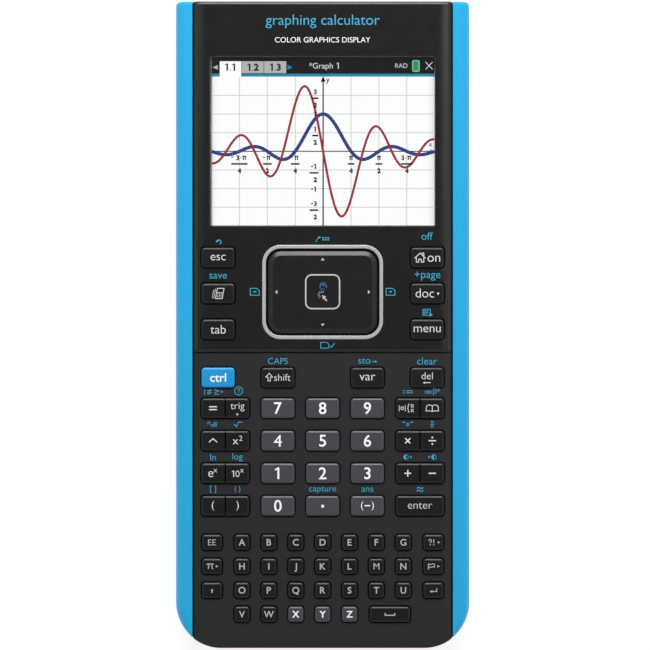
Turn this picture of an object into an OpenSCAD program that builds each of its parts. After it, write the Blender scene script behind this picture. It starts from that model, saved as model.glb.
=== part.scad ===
// Handheld graphing calculator, lying on its back with the screen up.
// Frame: +X to the right, +Y towards the screen end, +Z up, out of the screen.
// The origin is the middle of the footprint, on the plane that the rubber feet stand on.
// All lengths are in millimetres.

/* [Body] */
// Overall length, along Y
body_l = 190; // [188:0.5:194]
// Overall width, along X
body_w = 86.4; // [86:0.2:88]
// Height of the key face above the table
face_z = 14.1; // [14:0.1:15]
// Radius of the two corners at the letter keys
corner_r = 13.4; // [12:0.2:14]
// Radius of the two corners at the screen end
top_corner_r = 1.2; // [1:0.1:2]
// Width of the black middle section, between the side rails
core_w = 76.4; // [76.2:0.1:76.6]
// Height of the rubber feet below the rear cover
foot_h = 0.8; // [0.6:0.1:1]

/* [Screen] */
// Visible width of the screen
screen_w = 66; // [65:0.5:67]
// Visible height of the screen
screen_h = 49.8; // [49:0.2:50.4]
// Centre of the screen along Y
screen_y = 54; // [53.6:0.1:54.4]
// Height of the display bezel above the key face
bezel_rise = 0.8; // [0.6:0.1:1]
// Y of the seam between the display bezel and the key face
seam_y = -8; // [-8.4:0.1:-7.6]

/* [Keys] */
// Height of a key top above the surface round it
key_rise = 0.8; // [0.7:0.05:1]
// How far a key travels when pressed
key_travel = 0.6; // [0.3:0.05:0.6]
// Gap between a key cap and its hole, all round
key_gap = 0.25; // [0.2:0.05:0.3]
// Width of the number and command keys
key_w = 9.7; // [9:0.1:10]
// Depth of the number and command keys, along Y
key_d = 5.8; // [5.4:0.1:6]
// Spacing of the number columns
number_pitch = 13.15; // [13:0.05:13.3]
// Spacing of the number rows
number_row_pitch = 9.56; // [9.4:0.02:9.6]
// Width of two operator keys that share a hole
pair_w = 14.1; // [14:0.1:14.2]
// Side of a letter key
letter_w = 4.5; // [4.2:0.1:4.8]
// Spacing of the letter columns
letter_pitch = 7.9; // [7.8:0.05:8]
// Spacing of the letter rows
letter_row_pitch = 7.04; // [6.9:0.02:7.1]

/* [Touchpad] */
// Outer width of the silver ring
ring_w = 35.5; // [35:0.1:36]
// Outer height of the silver ring, along Y
ring_h = 27.7; // [27.2:0.1:28]
// Width of the ring's rim
ring_rim = 1.25; // [1:0.05:1.4]
// Straight travel of the touchpad under a centre click
pad_travel = 0.4; // [0.2:0.05:0.4]

/* [Hidden] */
$fn = 48;
cut = 1;           // how far a cutter runs past the face it opens
wall = 1.4;        // side and end walls of both case halves
floor_t = 1.6;     // rear cover's floor
face_t = 1.7;      // key face
bezel_t = 1.6;     // display bezel
corner_steps = 14; // straight steps in a quarter of a body corner
key_steps = 5;     // straight steps in a quarter of a key corner

// Levels, from the table up
floor_z = foot_h;
inner_floor_z = floor_z + floor_t;
split_z = 7.5;
board_z = 7.8;
board_t = 1.2;
board_top_z = board_z + board_t;
face_under_z = face_z - face_t;
bezel_top_z = face_z + bezel_rise;
seat_z = bezel_top_z - bezel_t;

// Key caps
key_r = 0.9;
key_chamfer = 0.35;
flange = 0.6;
flange_t = 1;
flange_gap = 0.1;
flange_z = face_under_z - flange_gap - flange_t;
membrane_t = 0.3;
dome_h = 0.4;
plunger_z = board_top_z + membrane_t + dome_h + key_travel + 0.05;
plunger_r = 1.25;
dome_r = 1.7;
pair_split = 0.3;

// Key rows and columns
command_x = 30.7;
command_pitch = 10.54;
command_y = 9.2;
modifier_y = -15.5;
number_y = -24.5;
letter_y = -63.9;
pair_x = 28.6;
side_letter_x = 32.5;
side_letter_w = 5.9;
half_w = (pair_w - pair_split) / 2;
half_dx = (half_w + pair_split) / 2;
space_w = letter_pitch + letter_w - 0.5;
function command_row(i) = command_y - i * command_pitch;
function number_row(i) = number_y - i * number_row_pitch;
function letter_row(i) = letter_y - i * letter_row_pitch;
function column(i) = i * number_pitch;

BLACK = "#222325";
GREY = "#53545c";
BLUE = "#2ba5e0";

// Each key: name, x, y, width, depth, side on which another key touches it (-1, 0, 1), colour.
function pair(left_name, right_name, side, row) = [
    [left_name, side * pair_x - half_dx, number_row(row), half_w, key_d, 1, BLACK],
    [right_name, side * pair_x + half_dx, number_row(row), half_w, key_d, -1, BLACK],
];
UPPER_KEYS = [
    for (k = [["key_esc", -1, -1], ["key_calc", -1, 0], ["key_tab", -1, 1],
              ["key_on", 1, -1], ["key_doc", 1, 0], ["key_menu", 1, 1]])
        [k[0], k[1] * command_x, command_row(k[2]), key_w, key_d, 0, BLACK],
];
MODIFIER_KEYS = [
    ["key_ctrl", -command_x, modifier_y, key_w, key_d, 0, BLUE],
    ["key_shift", column(-1), modifier_y, key_w, key_d, 0, BLACK],
    ["key_var", column(1), modifier_y, key_w, key_d, 0, BLACK],
    ["key_del", command_x, modifier_y, key_w, key_d, 0, BLACK],
];
NUMBER_KEYS = [
    for (row = [0:3], i = [-1:1])
        let (names = [["key_7", "key_8", "key_9"], ["key_4", "key_5", "key_6"],
                      ["key_1", "key_2", "key_3"], ["key_0", "key_point", "key_negative"]])
        [names[row][i + 1], column(i), number_row(row), key_w, key_d, 0, GREY],
];
OPERATOR_KEYS = concat(
    pair("key_equals", "key_trig", -1, 0),
    pair("key_power", "key_square", -1, 1),
    pair("key_exp", "key_ten_power", -1, 2),
    pair("key_paren_open", "key_paren_close", -1, 3),
    pair("key_template", "key_catalog", 1, 0),
    pair("key_multiply", "key_divide", 1, 1),
    pair("key_plus", "key_minus", 1, 2),
    [["key_enter", pair_x, number_row(3), pair_w, key_d, 0, BLACK]]
);
LOWER_KEYS = concat(MODIFIER_KEYS, NUMBER_KEYS, OPERATOR_KEYS);
SINGLE_KEYS = concat(UPPER_KEYS, LOWER_KEYS);

function letter_colour(row, i) = row == 3 && i >= -1 && i <= 1 ? GREY : BLACK;
function letters(row, first, last) = [
    for (i = [first:last])
        ["", i * letter_pitch, letter_row(row), letter_w, letter_w, 0, letter_colour(row, i)],
];
function side_letters(row) = [
    for (side = [-1, 1])
        ["", side * side_letter_x, letter_row(row), side_letter_w, letter_w, 0, BLACK],
];
LETTER_ROWS = [
    for (row = [0:2]) concat(side_letters(row), letters(row, -3, 3)),
    concat(letters(3, -3, 1), [["", 2.5 * letter_pitch, letter_row(3), space_w, letter_w, 0, BLACK]]),
];
LETTER_KEYS = [for (row = LETTER_ROWS, k = row) k];
LETTER_ROW_NAMES = ["letter_keys_row_1", "letter_keys_row_2", "letter_keys_row_3", "letter_keys_row_4"];

// Touchpad, one above the other: ring and plate, sensor board, support
pad_y = 9.6;
pad_gap = 0.5;
pad_w = ring_w - 2 * ring_rim - 2 * pad_gap;
pad_h = ring_h - 2 * ring_rim - 2 * pad_gap;
ring_r = 5.4;
pad_r = ring_r - ring_rim - 0.3;
pad_rise = 0.6;
pad_flange = 1.1;
pad_flange_z = 11.2;
pad_flange_t = 0.6;
pad_wall = 1.2;
pad_under_z = 14;
sensor_w = pad_w - 2 * pad_wall - 1.2;
sensor_h = pad_h - 2 * pad_wall - 1.2;
// Middles of the touchpad's four edges, where it is pressed for the arrows.
PAD_EDGES = [
    for (side = [-1, 1])
        each [[side * (pad_w / 2 - 0.6), pad_y], [0, pad_y + side * (pad_h / 2 - 0.6)]],
];
sensor_z = 13.1;
sensor_t = 0.6;
support_z = 12.3;
support_t = 0.5;

// Screen stack
window_margin = 1.5;
window_t = 0.9;
glass_margin = 0.5;
glass_top_z = seat_z - 0.15;
module_w = 71.6;
module_h = 58;
module_z = 9.9;

// Screws, their bosses, and the feet
boss_r = 2.1;
rear_boss_r = 3;
screw_r = 0.95;
screw_seat_z = 2.6;
screw_l = 8;
head_r = 1.9;
head_t = 1.2;
SCREW_PLACES = [for (side = [-1, 1]) each [[side * 33, 88.5], [side * 33, -8.5], [side * 32, -86.5]]];
door_screw_r = 0.75;
door_head_r = 1.7;
door_head_t = 0.6;
foot_r = 3.6;
foot_pocket = 0.6;
FOOT_PLACES = [for (x = [-29, 29], y = [79, -78]) [x, y]];

// Battery bay and its door
cell_w = 36;
cell_l = 51;
cell_t = 4.8;
cell_z = 2.15;
bay_w = 38;
bay_l = 54;
bay_y = -43;
bay_wall = 1.2;
bay_top_z = 7;
ledge_z = 2;
ledge_t = 1.2;
door_t = ledge_z - floor_z;
door_w = 44;
door_l = 64;
door_y = bay_y - 2;
door_gap = 0.2;
door_r = 3;
DOOR_SCREW_PLACES = [for (x = [-14, 14]) [x, door_y - door_l / 2 + 3.6]];
door_hook_w = 8;
door_hook_x = 12;

// Connector, lamp and reset switch
usb_w = 7.7;
usb_h = 3.9;
usb_l = 9.2;
usb_shell = 0.35;
usb_gap = 0.2;
lamp_x = 11;
lamp_z = 10;
lamp_r = 0.8;
reset_x = 24;
reset_y = 34;
reset_r = 0.9;
reset_travel = 0.4;

// Side rails: a hollow superellipse section
rail_gap = 0.1;
rail_x = core_w / 2 + rail_gap;
rail_w = body_w / 2 - rail_x;
rail_t = 1.5;
rail_mid_z = split_z;
rail_half_h = face_z - 0.1 - rail_mid_z;
rail_power = 3;
rail_steps = 20;
rail_top_cap = 1.6;
rail_end_cap = 10;
tongue_l = 8;
tongue_t = 1.2;
TONGUE_PLACES = [-60, 4, 60];

// ---------- outlines ----------

// A quarter circle round (x, y), or only that point where the radius is 0.
function arc(x, y, r, from, steps) =
    r <= 0 ? [[x, y]] : [
        for (i = [0:steps])
            let (a = from + 90 * i / steps)
            [x + r * cos(a), y + r * sin(a)]
    ];

// A rectangle with its own radius on each corner: [top right, top left, bottom left, bottom right].
function rounded(w, h, r, steps) = concat(
    arc(w / 2 - r[0], h / 2 - r[0], r[0], 0, steps),
    arc(-w / 2 + r[1], h / 2 - r[1], r[1], 90, steps),
    arc(-w / 2 + r[2], -h / 2 + r[2], r[2], 180, steps),
    arc(w / 2 - r[3], -h / 2 + r[3], r[3], 270, steps)
);

module rounded_plate(w, h, r, z0, z1, steps = key_steps) {
    translate([0, 0, z0])
        linear_extrude(z1 - z0)
            polygon(rounded(w, h, [r, r, r, r], steps));
}

// The whole body's outline, pulled in by inset, as a prism.
module body_prism(inset, z0, z1) {
    top = max(top_corner_r - inset, 0.2);
    low = corner_r - inset;
    translate([0, 0, z0])
        linear_extrude(z1 - z0)
            polygon(rounded(body_w - 2 * inset, body_l - 2 * inset, [top, top, low, low], corner_steps));
}

// The black middle section, pulled in by inset.
module core_prism(inset, z0, z1) {
    intersection() {
        body_prism(inset, z0, z1);
        translate([-core_w / 2 + inset, -body_l, z0 - cut])
            cube([core_w - 2 * inset, 2 * body_l, z1 - z0 + 2 * cut]);
    }
}

// A block along Y whose section is a w by z0..z1 rectangle with its upper or lower edges cut off.
module chamfered_bar(w, l, z0, z1, upper, lower) {
    translate([0, l / 2, 0])
        rotate([90, 0, 0])
            linear_extrude(l)
                polygon([
                    [-w / 2 + lower, z0], [w / 2 - lower, z0], [w / 2, z0 + lower], [w / 2, z1 - upper],
                    [w / 2 - upper, z1], [-w / 2 + upper, z1], [-w / 2, z1 - upper], [-w / 2, z0 + lower],
                ]);
}

// ---------- keys ----------

function corners(k, r) = [k[5] == 1 ? 0 : r, k[5] == -1 ? 0 : r, k[5] == -1 ? 0 : r, k[5] == 1 ? 0 : r];

// A key's outline grown by margin, except on the side next to its twin, where it grows by inner.
module key_prism(k, margin, inner, r, z0, z1) {
    left = k[5] == -1 ? inner : margin;
    right = k[5] == 1 ? inner : margin;
    translate([k[1] + (right - left) / 2, k[2], z0])
        linear_extrude(z1 - z0)
            polygon(rounded(k[3] + left + right, k[4] + 2 * margin, corners(k, r), key_steps));
}

module key_hole(k, z0, z1) {
    key_prism(k, key_gap, pair_split, key_r + key_gap, z0, z1);
}

module key(k, top_z) {
    color(k[6]) {
        intersection() {
            key_prism(k, 0, 0, key_r, flange_z + flange_t, top_z);
            translate([k[1], k[2], 0])
                chamfered_bar(k[3], k[4] + cut, flange_z, top_z, key_chamfer, 0);
            translate([k[1], k[2], 0])
                rotate([0, 0, 90])
                    chamfered_bar(k[4], k[3] + cut, flange_z, top_z, key_chamfer, 0);
        }
        key_prism(k, flange, 0, key_r, flange_z, flange_z + flange_t);
        translate([k[1], k[2], plunger_z])
            cylinder(r = plunger_r, h = flange_z - plunger_z);
    }
}

module letter_row(row) {
    for (k = LETTER_ROWS[row])
        key(k, face_z + key_rise);
}

// ---------- case ----------

module at_screws() {
    for (p = SCREW_PLACES)
        translate([p[0], p[1], 0])
            children();
}

module usb_opening() {
    translate([-usb_w / 2 - usb_gap, body_l / 2 - 2 * wall, board_z - usb_h - usb_gap])
        cube([usb_w + 2 * usb_gap, 2 * wall + cut, usb_h + 2 * usb_gap]);
}

module lamp_bore() {
    translate([lamp_x, body_l / 2 + cut, lamp_z])
        rotate([90, 0, 0])
            cylinder(r = lamp_r + 0.05, h = wall + 2 * cut);
}

module front_case() {
    color(BLACK)
        difference() {
            union() {
                difference() {
                    intersection() {
                        core_prism(0, split_z, face_z);
                        chamfered_bar(core_w, body_l + cut, split_z - cut, face_z, 0.5, 0);
                    }
                    core_prism(wall, split_z - cut, face_under_z);
                    translate([-body_w / 2, seam_y, seat_z])
                        cube([body_w, body_l, face_z]);
                }
                at_screws()
                    translate([0, 0, split_z + 0.1])
                        cylinder(r = boss_r, h = face_under_z - split_z);
            }
            for (k = concat(SINGLE_KEYS, LETTER_KEYS))
                key_hole(k, face_under_z - cut, face_z + cut);
            translate([0, screen_y, 0])
                rounded_plate(screen_w + 2 * glass_margin + 0.6, screen_h + 2 * glass_margin + 0.6, 0.6,
                              face_under_z - cut, face_z);
            translate([0, pad_y, 0])
                rounded_plate(pad_w + 2 * pad_gap - 0.2, pad_h + 2 * pad_gap - 0.2, pad_r + pad_gap - 0.1,
                              face_under_z - cut, face_z);
            at_screws()
                translate([0, 0, split_z - cut])
                    cylinder(r = screw_r + 0.03, h = screw_seat_z + screw_l + 0.4 - split_z + cut);
            usb_opening();
            lamp_bore();
        }
}

module display_bezel() {
    bezel_w = core_w - 1;
    bezel_l = body_l / 2 - seam_y;
    color("#1d1e20")
        difference() {
            intersection() {
                translate([0, seam_y + bezel_l / 2, 0])
                    rounded_plate(bezel_w, bezel_l, 0.4, seat_z, bezel_top_z);
                chamfered_bar(bezel_w, body_l + cut, seat_z - cut, bezel_top_z, 0.6, 0);
                translate([0, seam_y + bezel_l / 2, 0])
                    rotate([0, 0, 90])
                        chamfered_bar(bezel_l, bezel_w + cut, seat_z - cut, bezel_top_z, 0.6, 0);
            }
            translate([0, screen_y, 0]) {
                rounded_plate(screen_w, screen_h, 0.5, seat_z - cut, bezel_top_z + cut);
                rounded_plate(screen_w + 2 * window_margin + 0.3, screen_h + 2 * window_margin + 0.3, 1,
                              seat_z - cut, seat_z + window_t + 0.05);
            }
            translate([0, pad_y, 0])
                rounded_plate(ring_w + 0.2, ring_h + 0.2, ring_r + 0.1, seat_z - cut, bezel_top_z + cut);
            for (k = UPPER_KEYS)
                key_hole(k, seat_z - cut, bezel_top_z + cut);
        }
}

module battery_bay_solid() {
    translate([0, door_y, 0])
        rounded_plate(door_w + 4, door_l + 4, door_r, floor_z, ledge_z + ledge_t);
    translate([0, bay_y, 0])
        rounded_plate(bay_w + 2 * bay_wall, bay_l + 2 * bay_wall, 1.5, floor_z, bay_top_z);
    for (p = DOOR_SCREW_PLACES)
        translate([p[0], p[1], floor_z])
            cylinder(r = 2.2, h = 5.5 - floor_z);
}

module battery_bay_cuts() {
    translate([0, bay_y, 0])
        rounded_plate(bay_w, bay_l, 1, floor_z - cut, bay_top_z + cut);
    translate([0, door_y, 0])
        rounded_plate(door_w + 2 * door_gap, door_l + 2 * door_gap, door_r, floor_z - cut, ledge_z);
    for (p = DOOR_SCREW_PLACES)
        translate([p[0], p[1], 0])
            cylinder(r = door_screw_r + 0.03, h = 5);
    for (x = [-door_hook_x, door_hook_x])
        translate([x - door_hook_w / 2 - 0.3, bay_y + bay_l / 2 - 0.5, ledge_z + ledge_t])
            cube([door_hook_w + 0.6, bay_wall + cut, 1]);
    translate([-2.5, bay_y + bay_l / 2 - 0.5, 4])
        cube([5, bay_wall + cut, bay_top_z]);
}

module rear_cover() {
    color("#26272a")
        difference() {
            union() {
                difference() {
                    intersection() {
                        core_prism(0, floor_z, split_z);
                        chamfered_bar(core_w, body_l + cut, floor_z, split_z + cut, 0, 0.5);
                    }
                    core_prism(wall, inner_floor_z, split_z + cut);
                }
                battery_bay_solid();
                at_screws()
                    translate([0, 0, floor_z])
                        cylinder(r = rear_boss_r, h = split_z - floor_z);
            }
            battery_bay_cuts();
            at_screws() {
                translate([0, 0, floor_z - cut])
                    cylinder(r = head_r + 0.2, h = screw_seat_z - floor_z + cut);
                cylinder(r = screw_r + 0.2, h = split_z + cut);
            }
            for (p = FOOT_PLACES)
                translate([p[0], p[1], floor_z - cut])
                    cylinder(r = foot_r + 0.05, h = foot_pocket + cut);
            translate([reset_x, reset_y, 0])
                cylinder(r = reset_r + 0.2, h = inner_floor_z + cut);
            usb_opening();
            for (y = TONGUE_PLACES, side = [-1, 1])
                translate([side * core_w / 2 - 2, y - tongue_l / 2 - 0.2, split_z - tongue_t - 0.05])
                    cube([4, tongue_l + 0.4, tongue_t + cut]);
        }
}

// Half of a superellipse in X and Z, a wide and b high, from the top round to the bottom.
function half_oval(a, b) = [
    for (i = [0:rail_steps])
        let (t = 90 - 180 * i / rail_steps)
        [a * pow(abs(cos(t)), 2 / rail_power), b * sign(sin(t)) * pow(abs(sin(t)), 2 / rail_power)]
];

module rail_section(solid) {
    outer = half_oval(rail_w, rail_half_h);
    inner = half_oval(rail_w - rail_t, rail_half_h - rail_t);
    polygon(solid ? outer : concat(outer, [for (i = [rail_steps:-1:0]) inner[i]]));
}

// A stretch of rail along Y, from y0 to y1.
module rail_stretch(y0, y1, solid) {
    translate([rail_x, y1, rail_mid_z])
        rotate([90, 0, 0])
            linear_extrude(y1 - y0)
                rail_section(solid);
}

module right_rail_shape() {
    low = -body_l / 2;
    high = body_l / 2;
    intersection() {
        union() {
            rail_stretch(low + rail_end_cap, high - rail_top_cap, false);
            rail_stretch(low, low + rail_end_cap, true);
            rail_stretch(high - rail_top_cap, high, true);
        }
        body_prism(0, 0, face_z + cut);
    }
    for (y = TONGUE_PLACES)
        translate([rail_x - 1.2, y - tongue_l / 2, split_z - tongue_t])
            cube([rail_w - rail_t / 2 + 1.2, tongue_l, tongue_t]);
}

module right_side_rail() {
    color(BLUE)
        right_rail_shape();
}

module left_side_rail() {
    color(BLUE)
        mirror([1, 0, 0])
            right_rail_shape();
}

// ---------- screen ----------

module display_window() {
    color([0.8, 0.86, 0.9, 0.35])
        translate([0, screen_y, 0])
            rounded_plate(screen_w + 2 * window_margin, screen_h + 2 * window_margin, 0.9,
                          seat_z, seat_z + window_t);
}

module display_module() {
    frame_top = face_under_z - 0.1;
    tail_w = 20;
    color("white")
        translate([0, screen_y, 0]) {
            rounded_plate(module_w, module_h, 0.8, module_z, frame_top);
            rounded_plate(screen_w + 2 * glass_margin, screen_h + 2 * glass_margin, 0.4,
                          frame_top, glass_top_z);
            translate([-tail_w / 2, -module_h / 2, module_z - 0.4])
                cube([tail_w, 0.3, 0.5]);
            translate([-tail_w / 2, -module_h / 2, module_z - 0.6])
                cube([tail_w, 9, 0.3]);
        }
}

// ---------- boards ----------

module at_key_centres() {
    for (k = concat(SINGLE_KEYS, LETTER_KEYS))
        translate([k[1], k[2], 0])
            children();
}

module main_board() {
    under = 0.1;
    board_margin = wall + 0.5;
    color("#1f6b3a")
        difference() {
            union() {
                core_prism(board_margin, board_z, board_top_z);
                translate([-20, 40, board_z - 2.1])      // processor under its shield
                    cube([24, 24, 2.1 + under]);
                translate([10, 44, board_z - 1.3])       // memory
                    cube([12, 10, 1.3 + under]);
                translate([-16, 14, board_z - 1.5])      // charging circuit
                    cube([9, 9, 1.5 + under]);
                translate([-3.5, -12.5, board_z - 1.5])  // battery socket
                    cube([7, 5, 1.5 + under]);
                translate([reset_x - 2, reset_y - 2, board_z - 1.8])
                    cube([4, 4, 1.8 + under]);
                translate([-12, screen_y - module_h / 2 + 3, board_top_z - under])
                    cube([24, 4, 0.3 + under]);          // display socket
                translate([lamp_x - 1.2, body_l / 2 - 7, board_top_z - under])
                    cube([2.4, 3, 2]);
                translate([lamp_x, body_l / 2 - 0.1, lamp_z])
                    rotate([90, 0, 0])
                        cylinder(r = lamp_r, h = 5);     // light guide of the charging lamp
            }
            at_screws()
                translate([0, 0, board_z - cut])
                    cylinder(r = boss_r + 0.3, h = board_t + 2 * cut);
        }
}

module key_membrane() {
    sheet_top = screen_y - module_h / 2 - 1;
    color("#c8cbc8")
        difference() {
            union() {
                intersection() {
                    core_prism(wall + 0.7, board_top_z, board_top_z + membrane_t);
                    translate([-body_w, -body_l, 0])
                        cube([2 * body_w, body_l + sheet_top, body_l]);
                }
                at_key_centres()
                    translate([0, 0, board_top_z])
                        cylinder(r1 = dome_r, r2 = dome_r - 0.5, h = membrane_t + dome_h);
                for (p = PAD_EDGES)
                    translate([p[0], p[1], board_top_z])
                        cylinder(r = 1.4, h = 1);
            }
            translate([0, pad_y, board_top_z - cut])
                cylinder(r = 3, h = 3 * cut);
            at_screws()
                translate([0, 0, board_top_z - cut])
                    cylinder(r = boss_r + 0.3, h = 3 * cut);
        }
}

// ---------- touchpad ----------

module touchpad_ring() {
    color("silver")
        translate([0, pad_y, 0])
            difference() {
                rounded_plate(ring_w, ring_h, ring_r, seat_z, bezel_top_z + 0.3);
                rounded_plate(ring_w - 2 * ring_rim, ring_h - 2 * ring_rim, ring_r - ring_rim,
                              seat_z - cut, bezel_top_z + cut);
            }
}

module touchpad_plate() {
    top_z = bezel_top_z + pad_rise;
    color("#232427")
        translate([0, pad_y, 0])
            difference() {
                union() {
                    intersection() {
                        rounded_plate(pad_w, pad_h, pad_r, pad_flange_z, top_z);
                        chamfered_bar(pad_w, pad_h + cut, pad_flange_z, top_z, 0.4, 0);
                        rotate([0, 0, 90])
                            chamfered_bar(pad_h, pad_w + cut, pad_flange_z, top_z, 0.4, 0);
                    }
                    rounded_plate(pad_w + 2 * pad_flange, pad_h + 2 * pad_flange, pad_r + 1,
                                  pad_flange_z, pad_flange_z + pad_flange_t);
                }
                rounded_plate(pad_w - 2 * pad_wall, pad_h - 2 * pad_wall, pad_r - pad_wall,
                              pad_flange_z - cut, pad_under_z);
            }
}

module touchpad_sensor() {
    color("#1f6b3a")
        translate([0, pad_y, 0])
            rounded_plate(sensor_w, sensor_h, 1, sensor_z, sensor_z + sensor_t);
}

module touchpad_support() {
    post_z = board_top_z + pad_travel + 0.05;
    color("gainsboro")
        translate([0, pad_y, 0]) {
            rounded_plate(sensor_w - 1.4, sensor_h - 1.4, 1, support_z, support_z + support_t);
            translate([0, 0, post_z])
                cylinder(r = 2, h = support_z - post_z);
        }
}

// ---------- power, connector, fasteners ----------

module battery_pack() {
    cell_top_y = bay_y + bay_l / 2 - 1.6;
    plug_y = -10;
    lead_r = 0.5;
    lead_z = 5.2;
    color("#3a4a8a")
        translate([0, cell_top_y - cell_l / 2, 0])
            rounded_plate(cell_w, cell_l, 2, cell_z, cell_z + cell_t);
    color("white")
        translate([-2.5, plug_y - 2, 4.4])
            cube([5, 4, 1.8]);
    color("red")
        for (x = [-1, 1])
            translate([x, plug_y - 2, lead_z])
                rotate([90, 0, 0])
                    cylinder(r = lead_r, h = plug_y - 2 - cell_top_y);
}

module battery_door() {
    hook_y = bay_y + bay_l / 2;
    hook_z = ledge_z + ledge_t + 0.1;
    color("#26272a")
        difference() {
            union() {
                translate([0, door_y, 0])
                    rounded_plate(door_w, door_l, door_r - door_gap, floor_z, ledge_z);
                for (x = [-door_hook_x, door_hook_x]) {
                    translate([x - door_hook_w / 2, hook_y - 1.1, ledge_z])
                        cube([door_hook_w, 0.9, hook_z + 0.7 - ledge_z]);
                    translate([x - door_hook_w / 2, hook_y - 1.1, hook_z])
                        cube([door_hook_w, 2.2, 0.7]);
                }
            }
            for (p = DOOR_SCREW_PLACES)
                translate([p[0], p[1], 0]) {
                    cylinder(r = door_screw_r + 0.15, h = ledge_z + cut);
                    cylinder(r = door_head_r + 0.15, h = floor_z + door_head_t);
                }
        }
}

module usb_socket() {
    mouth_y = body_l / 2 - 0.2;
    color("silver")
        translate([0, mouth_y - usb_l, board_z - usb_h / 2]) {
            difference() {
                translate([-usb_w / 2, 0, -usb_h / 2])
                    cube([usb_w, usb_l, usb_h]);
                translate([-usb_w / 2 + usb_shell, 2, -usb_h / 2 + usb_shell])
                    cube([usb_w - 2 * usb_shell, usb_l, usb_h - 2 * usb_shell]);
            }
            translate([-usb_w / 2 + 1.6, 1, -0.4])
                cube([usb_w - 3.2, usb_l - 3, 0.8]);      // contact tongue
        }
}

module reset_button() {
    color("dimgray")
        translate([reset_x, reset_y, 0]) {
            translate([0, 0, floor_z + 0.6])
                cylinder(r = reset_r, h = 2);
            translate([0, 0, inner_floor_z + 0.1])
                cylinder(r = 2, h = 0.8);
            translate([0, 0, inner_floor_z + 0.5])
                cylinder(r = 1.2, h = board_z - 1.8 - 0.1 - reset_travel - inner_floor_z - 0.5);
        }
}

module screw(shank_r, shank_l, pan_r, pan_t, cross) {
    difference() {
        union() {
            translate([0, 0, -pan_t])
                cylinder(r = pan_r, h = pan_t);
            translate([0, 0, -0.1])
                cylinder(r = shank_r, h = shank_l + 0.1);
        }
        for (a = [0, 90])
            rotate([0, 0, a])
                translate([-cross, -0.22, -pan_t - cut])
                    cube([2 * cross, 0.44, cut + pan_t * 0.55]);
    }
}

module screws() {
    color("#3c3d40") {
        at_screws()
            translate([0, 0, screw_seat_z])
                screw(screw_r, screw_l, head_r, head_t, 1.2);
        for (p = DOOR_SCREW_PLACES)
            translate([p[0], p[1], floor_z + door_head_t])
                screw(door_screw_r, 3.4, door_head_r, door_head_t - 0.1, 1);
    }
}

module rubber_feet() {
    color("#18191b")
        for (p = FOOT_PLACES)
            translate([p[0], p[1], 0])
                cylinder(r = foot_r, h = foot_h + foot_pocket);
}

// ---------- nodes ----------

front_case();
display_bezel();
rear_cover();
left_side_rail();
right_side_rail();
display_window();
display_module();
main_board();
key_membrane();
touchpad_ring();
touchpad_plate();
touchpad_sensor();
touchpad_support();
battery_pack();
battery_door();
usb_socket();
reset_button();
screws();
rubber_feet();
for (k = UPPER_KEYS)
    key(k, bezel_top_z + key_rise);
for (k = LOWER_KEYS)
    key(k, face_z + key_rise);
for (row = [0:3])
    letter_row(row);
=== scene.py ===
"""Looks of a handheld graphing calculator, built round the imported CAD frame.

Shapes are worked out in millimetres, in the CAD's own frame, and made in metres.
"""
import bmesh
import bpy
from math import acos, atan2, cos, degrees, hypot, pi, radians, sin, sqrt
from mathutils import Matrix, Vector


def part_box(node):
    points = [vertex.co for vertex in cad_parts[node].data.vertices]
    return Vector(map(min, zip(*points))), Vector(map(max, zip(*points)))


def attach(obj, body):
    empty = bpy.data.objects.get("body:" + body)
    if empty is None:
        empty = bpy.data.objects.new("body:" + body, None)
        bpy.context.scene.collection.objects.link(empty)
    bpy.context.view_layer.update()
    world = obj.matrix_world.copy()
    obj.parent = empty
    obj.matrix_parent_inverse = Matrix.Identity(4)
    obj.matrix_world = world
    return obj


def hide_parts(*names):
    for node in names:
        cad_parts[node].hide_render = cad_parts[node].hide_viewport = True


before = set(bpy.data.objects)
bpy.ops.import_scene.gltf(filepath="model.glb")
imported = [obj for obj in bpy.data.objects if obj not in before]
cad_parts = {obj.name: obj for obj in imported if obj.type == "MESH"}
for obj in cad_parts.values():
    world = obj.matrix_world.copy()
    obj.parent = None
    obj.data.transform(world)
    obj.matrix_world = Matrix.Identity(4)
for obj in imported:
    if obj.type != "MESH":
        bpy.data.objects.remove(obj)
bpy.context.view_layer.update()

MM = 0.001


def box_mm(node):
    """A CAD node's lowest and highest corners, in millimetres."""
    low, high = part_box(node)
    return [c / MM for c in low], [c / MM for c in high]


# ---------- sizes, in millimetres ----------

(_, case_low, _), (CORE_HALF, case_high, FACE_Z) = box_mm("front_case")
BODY_L = case_high - case_low
(rail_x, _, RAIL_LOW_Z), (BODY_HALF, _, RAIL_HIGH_Z) = box_mm("right_side_rail")
RAIL_X = rail_x + 1.2
(_, _, REAR_Z), (_, _, SPLIT_Z) = box_mm("rear_cover")
(_, SEAM_Y, SEAT_Z), (BEZEL_HALF, _, BEZEL_Z) = box_mm("display_bezel")
(_, _, PAD_LOW_Z), (_, _, PAD_TOP_Z) = box_mm("touchpad_plate")
(_, _, key_low), (_, _, KEY_TOP_Z) = box_mm("key_enter")
PLUNGER_R, PLUNGER_L = 1.25, 0.95
KEY_FLANGE_Z = key_low + PLUNGER_L
UPPER_KEY_TOP_Z = box_mm("key_esc")[1][2] - 0.05
CORNER_R = 13.4
TOP_CORNER_R = 1.2
WALL = 1.4
FACE_T = 1.7

LAMP_X, LAMP_Z = 11.0, 10.0
SCREEN_W, SCREEN_H, SCREEN_Y = 66.0, 49.8, 54.0
PAD_Y = 9.6
RING_W, RING_H, RING_R, RING_RIM = 35.5, 27.7, 5.4, 1.05
PAD_W, PAD_H, PAD_R = 32.0, 24.2, 3.85

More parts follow.
